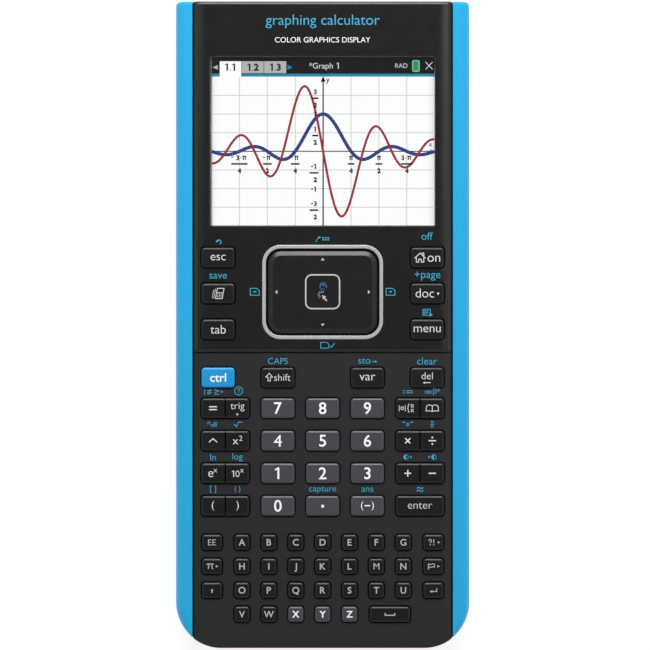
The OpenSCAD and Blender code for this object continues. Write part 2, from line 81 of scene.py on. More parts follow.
KEY_W, KEY_D, KEY_R = 9.7, 5.8, 0.9
KEY_GAP, FLANGE, FLANGE_T, PAIR_SPLIT = 0.25, 0.6, 1.0, 0.3
CAP_EDGE, TWIN_GROWTH, TWIN_R = 0.5, 0.09, 0.06
PAD_WALL, PAD_UNDER_Z = 1.2, 14.0
COMMAND_X, COMMAND_Y, COMMAND_PITCH = 30.7, 9.2, 10.54
MODIFIER_Y = -15.5
NUMBER_Y, NUMBER_PITCH, NUMBER_ROW_PITCH = -24.5, 13.15, 9.56
PAIR_X, PAIR_W = 28.6, 14.1
HALF_W = (PAIR_W - PAIR_SPLIT) / 2
TWIN_SHIFT = (HALF_W + PAIR_SPLIT) / 2
LETTER_Y, LETTER_W, LETTER_PITCH, LETTER_ROW_PITCH = -63.9, 4.5, 7.9, 7.04
SIDE_LETTER_X, SIDE_LETTER_W = 32.5, 5.9

# The front face falls away a little towards the two rails, over cuts that follow the curve.
DOME_START, DOME_DROP = 34.0, 0.6
DOME_CUTS = [DOME_START + 0.7 * i for i in range(5)]
# The pitch of the display's own pixels, and the two corners of the socket's opening.
PIXEL = 66 / 320
USB_MOUTH = (-4.05, 91, 3.7), (4.05, 97, 8.0)


# ---------- materials ----------

def linear(rgb):
    """An 8-bit display colour as Blender's linear colour."""
    parts = [c / 255 for c in rgb]
    return [c / 12.92 if c <= 0.04045 else ((c + 0.055) / 1.055) ** 2.4 for c in parts] + [1.0]


def settings(node, **inputs):
    """Set a node's own inputs; an underscore stands for each space in their names."""
    for key, value in inputs.items():
        node.inputs[key.replace("_", " ")].default_value = value
    return node


class Shading:
    """The nodes of a material or of the world, with short ways to add and join them."""

    def __init__(self, owner):
        owner.use_nodes = True
        self.nodes, self.link = owner.node_tree.nodes, owner.node_tree.links.new

    def coords(self, output="Object"):
        return self.nodes.new("ShaderNodeTexCoord").outputs[output]

    def noise(self, coords, scale, detail=3.0):
        node = settings(self.nodes.new("ShaderNodeTexNoise"), Scale=scale, Detail=detail)
        self.link(coords, node.inputs["Vector"])
        return node.outputs["Fac"]

    def maths(self, kind, operation, *sources):
        """A maths node fed by the given outputs."""
        node = self.nodes.new(kind)
        node.operation = operation
        for i, source in enumerate(sources):
            self.link(source, node.inputs[i])
        return node

    def axes(self, source):
        """The three parts of a vector."""
        node = self.nodes.new("ShaderNodeSeparateXYZ")
        self.link(source, node.inputs[0])
        return node.outputs

    def map_range(self, source, *values, smooth=False):
        """A value moved between ranges: from low, from high, to low, to high."""
        node = self.nodes.new("ShaderNodeMapRange")
        if smooth:
            node.interpolation_type = "SMOOTHSTEP"
        for i, value in enumerate(values):
            node.inputs[i + 1].default_value = value
        self.link(source, node.inputs[0])
        return node.outputs[0]

    def spread(self, fac, low, high):
        """A noise value stretched to run between two numbers."""
        return self.map_range(fac, 0.3, 0.7, low, high)


def new_material(name):
    mat = bpy.data.materials.new(name)
    tree = Shading(mat)
    return mat, tree, tree.nodes["Principled BSDF"]


def shade(colour, factor):
    """A linear colour made darker or lighter."""
    return [min(c * factor, 1.0) for c in colour[:3]] + [1.0]


def plastic(name, rgb, rough=0.45, grain=0.3, grain_scale=2600, mottle=0.05, metal=0.0, specular=0.5):
    """Moulded material: fine grain in the bump, uneven gloss and colour."""
    mat, tree, shader = new_material(name)
    coords, base = tree.coords(), linear(rgb)
    tint = tree.nodes.new("ShaderNodeMix")
    tint.data_type = "RGBA"
    tree.link(tree.noise(coords, 90, 5.0), tint.inputs[0])
    tint.inputs[6].default_value = shade(base, 1 - mottle)
    tint.inputs[7].default_value = shade(base, 1 + mottle)
    tree.link(tint.outputs[2], shader.inputs["Base Color"])
    gloss = tree.spread(tree.noise(coords, 260, 4.0), rough - 0.02, rough + 0.03)
    tree.link(gloss, shader.inputs["Roughness"])
    bump = settings(tree.nodes.new("ShaderNodeBump"), Strength=grain, Distance=0.00003)
    tree.link(tree.noise(coords, grain_scale, 2.0), bump.inputs["Height"])
    tree.link(bump.outputs[0], shader.inputs["Normal"])
    settings(shader, Metallic=metal, Specular_IOR_Level=specular)
    return mat


def ink(name, rgb):
    """Printed ink, a little uneven in cover."""
    return plastic(name, rgb, rough=0.5, grain=0.12, grain_scale=4200, specular=0.3)


def lit(name, rgb, strength=1.0, pixels=0.06, edge_shade=0.0):
    """Light from the display, with the thin dark lines between its pixels, and painted shade that dims it
    near its two sides, where the bezel's shadow falls.
    """
    mat, tree, shader = new_material(name)
    settings(shader, Base_Color=(0.003, 0.003, 0.003, 1), Roughness=0.5, Specular_IOR_Level=0.1,
             Emission_Color=linear(rgb))
    coords = tree.coords()
    cells = settings(tree.maths("ShaderNodeVectorMath", "SCALE", coords), Scale=1 / (PIXEL * MM))
    part = tree.axes(tree.maths("ShaderNodeVectorMath", "FRACTION", cells.outputs[0]).outputs[0])
    gap = tree.maths("ShaderNodeMath", "MAXIMUM", part[0], part[1])
    level = tree.map_range(gap.outputs[0], 0.8, 0.95, strength, strength * (1 - pixels), smooth=True)
    # Painted shade: the light fades towards the display's two sides, standing in for the bezel's shadow.
    reach = tree.maths("ShaderNodeMath", "ABSOLUTE", tree.axes(coords)[0])
    painted_edge_shade = tree.map_range(reach.outputs[0], 30.6 * MM, 33.2 * MM, 1.0, 1 - edge_shade, smooth=True)
    both = tree.maths("ShaderNodeMath", "MULTIPLY", level, painted_edge_shade)
    tree.link(both.outputs[0], shader.inputs["Emission Strength"])
    return mat


def clear(name):
    """Clear acrylic with faint smears in its gloss."""
    mat, tree, shader = new_material(name)
    settings(shader, Base_Color=(0.97, 0.98, 0.98, 1), Transmission_Weight=1.0, IOR=1.33)
    smears = tree.spread(tree.noise(tree.coords(), 60, 6.0), 0.0, 0.03)
    tree.link(smears, shader.inputs["Roughness"])
    return mat


def circuit_board(name, rgb):
    """Solder mask over copper tracks."""
    mat, tree, shader = new_material(name)
    coords, base = tree.coords(), linear(rgb)
    tracks = settings(tree.nodes.new("ShaderNodeTexBrick"), Scale=180, Mortar_Size=0.03, Color1=base,
                      Color2=shade(base, 0.8), Mortar=shade(base, 1.6))
    tree.link(coords, tracks.inputs["Vector"])
    tree.link(tracks.outputs["Color"], shader.inputs["Base Color"])
    tree.link(tree.spread(tree.noise(coords, 300), 0.25, 0.4), shader.inputs["Roughness"])
    return mat


CASE = plastic("case_black_plastic", (31, 31, 33), rough=0.5, grain=0.35, grain_scale=3200, specular=0.3)
BEZEL = plastic("bezel_black_plastic", (10, 10, 11), rough=0.3, mottle=0.02, grain=0.2, grain_scale=3600)
REAR = plastic("rear_textured_plastic", (36, 37, 40), rough=0.6, grain=0.8, grain_scale=1500, specular=0.3)
RAIL = plastic("rail_blue_plastic", (40, 161, 211), rough=0.46, grain=0.12, grain_scale=4000, mottle=0.03,
               specular=0.12)
KEY_BLACK = plastic("key_black_plastic", (8, 8, 9), rough=0.36, grain=0.2, grain_scale=3800, specular=0.4)
KEY_GREY = plastic("key_grey_plastic", (62, 61, 67), rough=0.36, grain=0.2, grain_scale=3800)
KEY_BLUE = plastic("key_blue_plastic", (6, 142, 203), rough=0.38, grain=0.2, grain_scale=3800)
SILVER = plastic("ring_satin_silver", (194, 194, 196), rough=0.42, grain=0.2, grain_scale=5200, mottle=0.03,
                 metal=0.6)
PAD = plastic("pad_black_plastic", (10, 10, 11), rough=0.32, grain=0.15, grain_scale=4200)
STEEL = plastic("steel_plated", (120, 121, 124), rough=0.3, grain=0.2, grain_scale=3000, metal=1.0)
RUBBER = plastic("foot_rubber", (22, 23, 25), rough=0.8, grain=0.6, grain_scale=1800, specular=0.2)
INNER = plastic("inner_plastic", (150, 150, 152), rough=0.5, grain=0.3)
MEMBRANE = plastic("membrane_silicone", (200, 203, 200), rough=0.6, grain=0.3, mottle=0.04)
FOIL = plastic("cell_wrap", (58, 74, 138), rough=0.35, grain=0.3, metal=0.3)
BOARD = circuit_board("board_solder_mask", (31, 107, 58))
CLEAR = clear("window_clear_acrylic")
LENS = plastic("lamp_lens", (120, 128, 120), rough=0.2, grain=0.05, mottle=0.02)
WHITE_INK = ink("ink_white", (240, 240, 241))
KEY_INK = ink("ink_key_white", (212, 212, 213))
LETTER_INK = ink("ink_letter_grey", (176, 176, 178))
BLUE_INK = ink("ink_light_blue", (62, 158, 190))
HEADER_INK = ink("ink_header_blue", (62, 160, 192))
SILVER_INK = ink("ink_silver", (182, 182, 184))
PAD_BLUE_INK = ink("ink_pad_blue", (40, 104, 138))
# The page's last number is painted shade: its light dims near the two sides, where the bezel's shadow falls.
LIT_WHITE = lit("lit_white", (253, 253, 253), 1.06, 0.05, 0.2)
LIT_DARK = lit("lit_dark", (14, 15, 17))
LIT_INK = lit("lit_black", (8, 8, 10))
LIT_GRID = lit("lit_grid", (212, 211, 213))
LIT_GREY = lit("lit_tab_grey", (182, 183, 185))
LIT_TEAL = lit("lit_teal", (24, 140, 170))
LIT_TEXT = lit("lit_text", (225, 228, 230))
LIT_BLUE = lit("lit_curve_blue", (44, 62, 128))
LIT_RED = lit("lit_curve_red", (158, 42, 54))
LIT_GREEN = lit("lit_battery_green", (48, 146, 96))
LIT_PALE_GREEN = lit("lit_battery_pale_green", (128, 206, 158))


# ---------- outlines and meshes ----------

SMOOTH_ANGLE = 38


def arc(cx, cy, r, start, end, steps):
    angles = [radians(start + (end - start) * i / steps) for i in range(steps + 1)]
    return [(cx + r * cos(a), cy + r * sin(a)) for a in angles]


def circle(x, y, r, steps):
    return arc(x, y, r, 0, 360, steps)[:-1]


def rounded(w, d, radii, x=0.0, y=0.0, grow=0.0, steps=5):
    """A rounded rectangle round (x, y), counter-clockwise, with a radius for each corner."""
    if not isinstance(radii, (list, tuple)):
        radii = [radii] * 4
    half_w, half_d = w / 2 + grow, d / 2 + grow
    points = []
    for (sx, sy, start), r in zip(((1, 1, 0), (-1, 1, 90), (-1, -1, 180), (1, -1, 270)), radii):
        r = min(max(r + grow, 0.04), half_w, half_d)
        points += arc(x + sx * (half_w - r), y + sy * (half_d - r), r, start, start + 90, steps)
    return points


def opening(w, d, r, y, x=0.0, steps=5):
    """A rounded opening's or plate's outline, as a function of its inset."""
    return lambda inset: rounded(w - 2 * inset, d - 2 * inset, max(r - inset, 0.1), x, y, steps=steps)


def core_outline(inset):
    """The black middle section: the body's outline cut off by its two long seams."""
    half, top = CORE_HALF - inset, BODY_L / 2 - inset
    top_r, low_r = max(0.6 - inset, 0.05), CORNER_R - inset
    cx, cy = BODY_HALF - CORNER_R, CORNER_R - BODY_L / 2
    seam, turn, rise = degrees(acos((half - cx) / low_r)), 1.8, 0.4
    seam_y = cy - low_r * sin(radians(seam)) + rise
    seam += turn
    top_y = top - top_r
    top_corners = arc(half - top_r, top_y, top_r, 0, 90, 3) + arc(top_r - half, top_y, top_r, 90, 180, 3)
    low_corners = arc(-cx, cy, low_r, 180 + seam, 270, 14) + arc(cx, cy, low_r, 270, 360 - seam, 14)
    return top_corners + [(-half, seam_y)] + low_corners + [(half, seam_y)]


def fillet(r, z, steps=4, outward=False):
    """(inset, z) steps from a flat face at height z over a quarter-round edge and down to the wall."""
    sign = -1 if outward else 1
    return [(sign * r * (1 - sin(radians(90 * i / steps))), z - r * (1 - cos(radians(90 * i / steps))))
            for i in range(steps + 1)]


def rings_to_mesh(bm, rings, cap_start=True, cap_end=True):
    """Skin a list of point rings of equal length; returns the rings' vertices."""
    made = [[bm.verts.new((x * MM, y * MM, z * MM)) for x, y, z in ring] for ring in rings]
    for a, b in zip(made, made[1:]):
        for i in range(len(a)):
            bm.faces.new((a[i - 1], a[i], b[i], b[i - 1]))
    if cap_start:
        bm.faces.new(made[0])
    if cap_end:
        bm.faces.new(made[-1])
    return made


def lofted(bm, outline, profile, **caps):
    """Skin the closed line outline(inset) over the (inset, z) steps of a profile."""
    return rings_to_mesh(bm, [[(x, y, z) for x, y in outline(inset)] for inset, z in profile], **caps)


def prism(bm, outline, z0, z1):
    """An upright solid with one outline from z0 to z1."""
    rings_to_mesh(bm, [[(x, y, z) for x, y in outline] for z in (z0, z1)])


def new_object(name, data):
    obj = bpy.data.objects.new(name, data)
    bpy.context.scene.collection.objects.link(obj)
    return obj


def evaluated_mesh(obj):
    """The object's mesh with its modifiers, or the mesh of its text."""
    return bpy.data.meshes.new_from_object(obj.evaluated_get(bpy.context.evaluated_depsgraph_get()))


def smooth(mesh, angle):
    """Smooth shading, with edges sharper than angle kept sharp."""
    mesh.shade_smooth()
    mesh.set_sharp_from_angle(angle=radians(angle))


def finish_mesh(bm, name, mats, smooth_angle=SMOOTH_ANGLE, merge=True):
    """Make the object, with flat faces kept flat and fillets smooth."""
    if merge:
        bmesh.ops.remove_doubles(bm, verts=bm.verts, dist=1e-7)
    bmesh.ops.recalc_face_normals(bm, faces=bm.faces)
    mesh = bpy.data.meshes.new(name)
    bm.to_mesh(mesh)
    bm.free()
    for mat in mats:
        mesh.materials.append(mat)
    smooth(mesh, smooth_angle)
    return new_object(name, mesh)


def weigh_normals(obj):
    """Keep flat faces flat next to their fillets."""
    weighted = obj.modifiers.new("flat_faces", "WEIGHTED_NORMAL")
    weighted.keep_sharp = True


def place(obj, body, slot, *replaced):
    """Put the piece on the body it rides on, and hide the CAD nodes it stands in for. slot is not used."""
    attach(obj, body)
    if replaced:
        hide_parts(*replaced)


def dome_drop(x):
    """How far the front face has fallen at this distance from the middle."""
    t = max(abs(x) - DOME_START, 0) / (BEZEL_HALF - DOME_START)
    return DOME_DROP * t * t


def dome(bm, above_z):
    """Bend the front face down towards the rails."""
    for x in DOME_CUTS:
        for side in (-1, 1):
            geometry = bm.verts[:] + bm.edges[:] + bm.faces[:]
            bmesh.ops.bisect_plane(bm, geom=geometry, dist=1e-7, plane_co=(side * x * MM, 0, 0),
                                   plane_no=(1, 0, 0))
    for vert in bm.verts:
        if vert.co.z > above_z * MM:
            vert.co.z -= dome_drop(vert.co.x / MM) * MM


def shell(name, mats, outer, holes, domed_above):
    """A plate with filleted edges and holes. outer and each hole are (outline, profile): outline(inset)
    gives the points, and profile is (inset, z) from the top face round to the underside."""
    bm = bmesh.new()
    tops, undersides = [], []
    for outline, profile in [outer] + holes:
        made = lofted(bm, outline, profile, cap_start=False, cap_end=False)
        tops.append(made[0])
        undersides.append(made[-1])
    for loops in (tops, undersides):
        edges = [bm.edges.get((loop[i - 1], loop[i])) for loop in loops for i in range(len(loop))]
        bmesh.ops.triangle_fill(bm, use_beauty=True, use_dissolve=False, edges=edges, normal=(0, 0, 1))
    dome(bm, domed_above)
    return finish_mesh(bm, name, mats)


def cut(obj, cutter_bm):
    """Take the cutter's closed shapes out of the object."""
    cutter = finish_mesh(cutter_bm, "cutter", [])
    boolean = obj.modifiers.new("cut", "BOOLEAN")
    boolean.operation, boolean.solver, boolean.object = "DIFFERENCE", "EXACT", cutter
    result = evaluated_mesh(obj)
    obj.modifiers.clear()
    obj.data = result
    smooth(result, SMOOTH_ANGLE)
    bpy.data.objects.remove(cutter)


def block(bm, low, high):
    """A box between two corners, added to a cutter or a piece."""
    (x0, y0, z0), (x1, y1, z1) = low, high
    prism(bm, [(x1, y1), (x0, y1), (x0, y0), (x1, y0)], z0, z1)


def along_y(bm, x, z, steps):
    """A round bar along Y, over (radius, y) steps."""
    rings_to_mesh(bm, [[(px, y, pz) for px, pz in circle(x, z, r, 24)] for r, y in steps])


def post(bm, x, y, r, z0, z1):
    """An upright cylinder, added to a cutter or a piece."""
    prism(bm, circle(x, y, r, 32), z0, z1)


# ---------- drawings: printed legends and the display's picture ----------

GLYPHS = {}
# The font's capital height at size 1. Above THICK, finer steps would fold a letter's outline.
FONT_CAP, THICK = 0.682, 0.03


def glyphs(body, weight):
    """One line of text in the built-in font as flat faces, with its box, at size 1."""
    if (body, weight) not in GLYPHS:
        curve = bpy.data.curves.new("text", "FONT")
        curve.body, curve.size, curve.offset = body, 1.0, weight
        curve.resolution_u = 3 if weight > THICK else 5
        obj = new_object("text", curve)
        mesh = evaluated_mesh(obj)
        points = [(v.co.x, v.co.y) for v in mesh.vertices]
        faces = [tuple(p.vertices) for p in mesh.polygons]
        xs, ys = [p[0] for p in points], [p[1] for p in points]
        GLYPHS[body, weight] = points, faces, (min(xs), max(xs), min(ys), max(ys))
        bpy.data.objects.remove(obj)
        bpy.data.curves.remove(curve)
        bpy.data.meshes.remove(mesh)
    return GLYPHS[body, weight]


class Drawing:
    """Flat shapes in one ink. Each shape's coordinates are counted from the drawing's own origin."""

    def __init__(self, x=0.0, y=0.0):
        self.points, self.faces, self.layers, self.layer = [], [], [], 0
        self.at(x, y)

    def at(self, x, y):
        self.x, self.y = x, y
        return self

    def shape(self, points, faces):
        start = len(self.points)
        self.points += [(self.x + px, self.y + py) for px, py in points]
        self.layers += [self.layer] * len(points)
        self.faces += [tuple(start + i for i in face) for face in faces]
        self.layer += 1

    def polygon(self, points):
        self.shape(points, [range(len(points))])

    def triangle(self, x, y, size, angle=0):
        """A small arrow head that points along angle, in degrees."""
        turn = [radians(angle + a) for a in (0, 130, 230)]
        self.polygon([(x + size * cos(a), y + size * sin(a)) for a in turn])

    def disc(self, x, y, r, steps=20):
        self.polygon(circle(x, y, r, steps))

    def box(self, x, y, w, h):
        w, h = w / 2, h / 2
        self.polygon([(x - w, y - h), (x + w, y - h), (x + w, y + h), (x - w, y + h)])

    def frame(self, x, y, w, h, r, line):
        """A rounded rectangle's outline, line wide, measured to its outside."""
        outer, inner = rounded(w, h, r, x, y, steps=6), rounded(w, h, r, x, y, grow=-line, steps=6)
        n = len(outer)
        self.shape(outer + inner, [((i - 1) % n, i, n + i, n + (i - 1) % n) for i in range(n)])

    def stroke(self, points, width, closed=False):
        """A line of even width along the points, mitred at its corners."""
        n, left, right = len(points), [], []
        for i, (x, y) in enumerate(points):
            before = points[i - 1] if i or closed else None
            after = points[(i + 1) % n] if i < n - 1 or closed else None
            ways = []
            for (ax, ay), (bx, by) in [(before, (x, y))] * bool(before) + [((x, y), after)] * bool(after):
                length = hypot(bx - ax, by - ay) or 1.0
                ways.append(((ay - by) / length, (bx - ax) / length))
            nx, ny = sum(w[0] for w in ways), sum(w[1] for w in ways)
            length = hypot(nx, ny) or 1.0
            nx, ny = nx / length, ny / length
            reach = width / 2 / max(nx * ways[0][0] + ny * ways[0][1], 0.4)
            left.append((x + nx * reach, y + ny * reach))
            right.append((x - nx * reach, y - ny * reach))
        faces = [(i, i + 1, n + i + 1, n + i) for i in range(n - 1)]
        if closed:
            faces.append((n - 1, 0, n, 2 * n - 1))
        self.shape(left + right, faces)

    def letter(self, body, x, y, cap, weight=0.008):
        """One character centred across x, its capital height centred on y."""
        points, faces, (x0, x1, _, _) = glyphs(body, weight)
        scale = cap / FONT_CAP
        middle = (x0 + x1) / 2
        self.shape([(x + (px - middle) * scale, y - cap / 2 + py * scale) for px, py in points], faces)

    def text(self, body, x, y, width=None, height=None, weight=-0.006):
        """Text centred on (x, y), scaled to a width or to the height of its own box."""
        points, faces, (x0, x1, y0, y1) = glyphs(body, weight)
        scale = width / (x1 - x0) if width else height / (y1 - y0)
        mid_x, mid_y = (x0 + x1) / 2, (y0 + y1) / 2
        self.shape([(x + (px - mid_x) * scale, y + (py - mid_y) * scale) for px, py in points], faces)

    def one(self, x, y, height, line):
        """A figure one with a flag, which the built-in font lacks."""
        top, low, half = y + height / 2, y - height / 2, line / 2
        flag = x - half - 0.24 * height
        self.polygon([(x - half, low), (x + half, low), (x + half, top), (x - half * 0.7, top),
                      (flag, top - 0.17 * height), (flag + 0.05 * height, top - 0.27 * height),
                      (x - half, top - 0.16 * height)])

    def draw(self, marks):
        """Draw marks: (shape's name, values...), or (points, width...) for a stroke."""
        for first, *values in marks:
            if isinstance(first, str):
                getattr(self, first)(*values)
            else:
                self.stroke(first, *values)
        return self


def printed(drawing, name, mat, surface, thickness=0.035, step=0.0012):
    """The drawing as thin solids that lie on a surface, whose height in mm is surface(x, y)."""
    bm = bmesh.new()
    tag = bm.verts.layers.float.new("lift")
    verts = [bm.verts.new((x, y, 0)) for x, y in drawing.points]
    for vert, layer in zip(verts, drawing.layers):
        vert[tag] = layer * step
    for face in drawing.faces:
        if len(set(face)) > 2:
            bm.faces.new([verts[i] for i in face])
    bm.normal_update()
    bmesh.ops.triangulate(bm, faces=bm.faces[:])
    base = set(bm.verts)
    bmesh.ops.extrude_face_region(bm, geom=bm.faces[:])
    for vert in bm.verts:
        x, y = vert.co.x, vert.co.y
        rise = thickness + vert[tag] if vert not in base else -0.02
        vert.co = (x * MM, y * MM, (surface(x, y) + rise) * MM)
    loose = [v for v in bm.verts if not v.link_faces]
    bmesh.ops.delete(bm, geom=loose, context="VERTS")
    return finish_mesh(bm, name, [mat], 20, merge=False)


# ---------- key caps ----------

class Key:
    """A key's place, size and legend. twin is the side on which its twin shares the hole: -1, 0 or 1."""

    def __init__(self, name, x, y, marks, upper=(), w=KEY_W, d=KEY_D, twin=0, mat=KEY_BLACK, top=KEY_TOP_Z):
        self.name, self.x, self.y, self.w, self.d, self.twin = name, x, y, w, d, twin
        self.mat, self.top, self.marks, self.upper = mat, top, marks, upper
        self.hole_x, self.hole_w = (x + twin * TWIN_SHIFT, PAIR_W) if twin else (x, w)

    def radii(self):
        right, left = (TWIN_R if self.twin == side else KEY_R for side in (1, -1))
        return [right, left, left, right]

    def outline(self, margin, inner):
        """The cap's outline grown by margin, and by inner on the twin's side."""
        left = inner if self.twin == -1 else margin
        right = inner if self.twin == 1 else margin
        radii = [max(r + margin, 0.04) for r in self.radii()]
        x = self.x + (right - left) / 2
        return rounded(self.w + left + right, self.d + 2 * margin, radii, x, self.y)

    def cap(self, bm):
        """The cap from its plunger up, over its flange; returns its faces."""
        plunger = rounded(2 * PLUNGER_R, 2 * PLUNGER_R, PLUNGER_R, self.x, self.y)
        skirt = self.outline(FLANGE, 0)
        low = KEY_FLANGE_Z
        steps = [(plunger, low - PLUNGER_L), (plunger, low), (skirt, low), (skirt, low + FLANGE_T),
                 (self.outline(0, TWIN_GROWTH), low + FLANGE_T)]
        for inset, drop in ((0.0, 0.42), (0.02, 0.31), (0.07, 0.24), (0.14, 0.19), (0.44, 0.03),
                            (CAP_EDGE, 0.0), (CAP_EDGE + 0.1, 0.0), (CAP_EDGE + 0.3, 0.0)):
            steps.append((self.outline(-inset, TWIN_GROWTH - 0.3 * inset), self.top - drop))
        rings = [[(x, y, z) for x, y in outline] for outline, z in steps]
        before = len(bm.faces)
        rings_to_mesh(bm, rings)
        bm.faces.ensure_lookup_table()
        return bm.faces[before:]

    def hole(self, top_z, under_z):
        """The key's opening in the face: the outline, which shares its hole with a twin, and its profile."""
        w, d = self.hole_w + 2 * KEY_GAP, self.d + 2 * KEY_GAP
        outline = opening(w, d, KEY_R + KEY_GAP, self.y, self.hole_x)
        return outline, fillet(0.25, top_z, 3, outward=True) + [(0, under_z)]


def arrow(x, y, angle=0, size=0.45):
    return ("triangle", x, y, size, angle)


def number(digit):
    """A number key's digit. The one is drawn, since the font's has no flag."""
    if digit == "1":
        return [("one", 0.15, 0, 3.4, 0.55)]
    return [("text", digit, 0, 0, None, 3.5, 0.0 if digit == "4" else 0.01)]


def word(text, width, x=0, y=0, weight=-0.008):
    """A mark with text of the given width."""
    return ("text", text, x, y, width, None, weight)


HOUSE = [([(-3.75, -0.25), (-2.1, 1.3), (-0.45, -0.25)], 0.22),
         ([(-3.2, 0.15), (-3.2, -1.35), (-2.5, -1.35), (-2.5, -0.5), (-1.7, -0.5), (-1.7, -1.35),
           (-1.0, -1.35), (-1.0, 0.15)], 0.22),
         ([(-1.5, 0.8), (-1.5, 1.35), (-1.0, 1.35), (-1.0, 0.4)], 0.2)]
CALC_ICON = ([([(-0.75, -1.5), (-0.2, 1.5), (1.75, 1.5), (1.2, -1.5)], 0.2, True),
              ([(-0.5, 0.2), (1.35, 0.2)], 0.16),
              ([(-1.25, -1.5), (-0.75, 1.35)], 0.13), ([(-1.7, -1.4), (-1.3, 1.1)], 0.12)]
             + [("box", -0.22 + 0.52 * i + 0.08 * j, -1.0 + 0.42 * j, 0.24, 0.2)
                for i in range(3) for j in range(3)])
SHIFT_ICON = [([(-2.9, -1.0), (-2.9, 0.15), (-3.55, 0.15), (-2.55, 1.25), (-1.55, 0.15), (-2.2, 0.15),
                (-2.2, -1.0)], 0.2, True)]
BACK_ARROW = [([(-0.9, -1.5), (1.0, -1.5)], 0.22), arrow(-0.9, -1.5, 180, 0.4)]
TEMPLATE_ICON = ([([(-2.5, -0.9), (-2.5, 0.9)], 0.16), ([(-0.75, -0.9), (-0.75, 0.9)], 0.16),
                  ("frame", -1.62, 0, 1.0, 1.0, 0.45, 0.2), ("text", "{", 0.15, 0, None, 2.5)]
                 + [("frame", 1.3, y, 0.75, 0.85, 0.1, 0.16) for y in (0.68, -0.68)])
BOOK_ICON = [([(-1.9, -0.85), (-1.6, 0.75), (-0.8, 1.0), (0, 0.65), (0.8, 1.0), (1.6, 0.75),
               (1.9, -0.85)], 0.2),
             ([(-1.9, -0.85), (-0.7, -0.75), (0, -1.0), (0.7, -0.75), (1.9, -0.85)], 0.2),
             ([(0, 0.65), (0, -0.95)], 0.2)]
PLUS = [([(-1.0, 0), (1.0, 0)], 0.36), ([(0, -1.0), (0, 1.0)], 0.36)]
TIMES = [([(-0.75, -0.75), (0.75, 0.75)], 0.38), ([(-0.75, 0.75), (0.75, -0.75)], 0.38)]
DIVIDE = [("box", 0, 0, 2.2, 0.36), ("disc", 0, 0.95, 0.27), ("disc", 0, -0.95, 0.27)]
EQUALS = [("box", 0, 0.42, 2.3, 0.34), ("box", 0, -0.42, 2.3, 0.34)]
FLAG_ICON = [([(-1.45, -0.95), (-1.45, 0.75)], 0.24),
             ([(-1.45, 0.7), (-0.8, 0.5), (-0.2, 0.75), (0.35, 0.6), (0.35, -0.25), (-0.2, -0.1),
               (-0.8, -0.35), (-1.45, -0.15)], 0.22)]
PI_ICON = [([(-1.6, 0.45), (-1.3, 0.68), (0.55, 0.68)], 0.26),
           ([(-0.85, 0.6), (-1.1, -0.75)], 0.26),
           ([(0.0, 0.6), (0.0, -0.5), (0.3, -0.75)], 0.26)]
RETURN_ICON = [([(1.0, 0.6), (1.0, -0.35), (-0.5, -0.35)], 0.24), arrow(-0.6, -0.35, 180, 0.5)]
SPACE_ICON = [([(-1.4, 0.35), (-1.4, -0.3), (1.4, -0.3), (1.4, 0.35)], 0.3)]

# Light-blue marks over the keys, counted from the middle of the key they belong to, and the page icon.
UNDO = [(arc(0.25, 4.55, 0.62, -70, 150, 10), 0.24), arrow(-0.35, 4.75, 215, 0.5)]
PAGE = [(-1.3, -1.0), (1.3, -1.0), (1.3, 0.35), (0.6, 1.0), (-1.3, 1.0)]
MENU_ICON = [("frame", -0.15, 5.0, 2.4, 2.0, 0.2, 0.2), ("box", -0.3, 5.45, 1.5, 0.2),
             ("box", -0.3, 5.0, 1.5, 0.2), ("box", -0.5, 4.55, 1.1, 0.2), arrow(1.0, 4.35, 120, 0.65)]
ROOT = [([(-1.2, 4.55), (-0.75, 4.75), (-0.3, 4.05), (0.3, 5.45), (1.5, 5.45)], 0.2)]
NTH_ROOT = [("text", "n", -1.25, 5.25, 0.7),
            ([(-0.8, 4.6), (-0.5, 4.75), (-0.15, 4.1), (0.35, 5.3), (1.3, 5.3)], 0.18),
            ("frame", 0.75, 4.55, 0.7, 0.8, 0.1, 0.17)]
QUOTES = [([(x, 5.2), (x + 0.15, 5.65)], 0.22) for x in (-1.5, -1.05, 0.85, 1.3)]
QUOTES.append(("frame", 0, 4.75, 0.75, 0.85, 0.1, 0.18))
FRACTION = [("frame", 0, 5.45, 0.7, 0.6, 0.1, 0.14), ("box", 0, 4.8, 1.4, 0.15),
            ("frame", 0, 4.15, 0.7, 0.6, 0.1, 0.14)]


def contrast(side):
    """Half-filled disc with an arrow, for screen brightness."""
    half = arc(-side * 0.5, 4.75, 0.62, 90, 270, 10)
    return [(circle(-side * 0.5, 4.75, 0.7, 20), 0.16, True), ("polygon", half),
            arrow(side * 0.95, 4.75, 0 if side > 0 else 180, 0.42)]


RELATIONS = [([(-2.5, 4.0), (-2.5, 5.7)], 0.2), ("text", "≠", -1.1, 4.8, 1.45),
             ("text", "≥", 1.1, 4.8, 1.45), arrow(2.6, 4.8)]
STORE = [("text", "sto", -0.9, 4.85, 3.5), ([(1.3, 4.7), (2.5, 4.7)], 0.2), arrow(2.5, 4.7)]
HELP = [(circle(0.3, 5.1, 1.2, 24), 0.18, True),
        (arc(0.3, 5.4, 0.36, 170, -60, 8) + [(0.3, 4.95)], 0.18), ("disc", 0.3, 4.55, 0.13, 8)]
ASSIGN = [("disc", -1.2, 5.15, 0.2), ("disc", -1.2, 4.5, 0.2), ("box", 0.5, 5.1, 2.0, 0.2),
          ("box", 0.5, 4.5, 2.0, 0.2)]
SYMBOLS = [word("∞", 2.0, -1.2, 4.7, -0.004), word("β", 1.05, 0.75, 4.85, -0.004),
           ("frame", 1.85, 5.3, 0.75, 0.75, 0.36, 0.18)]

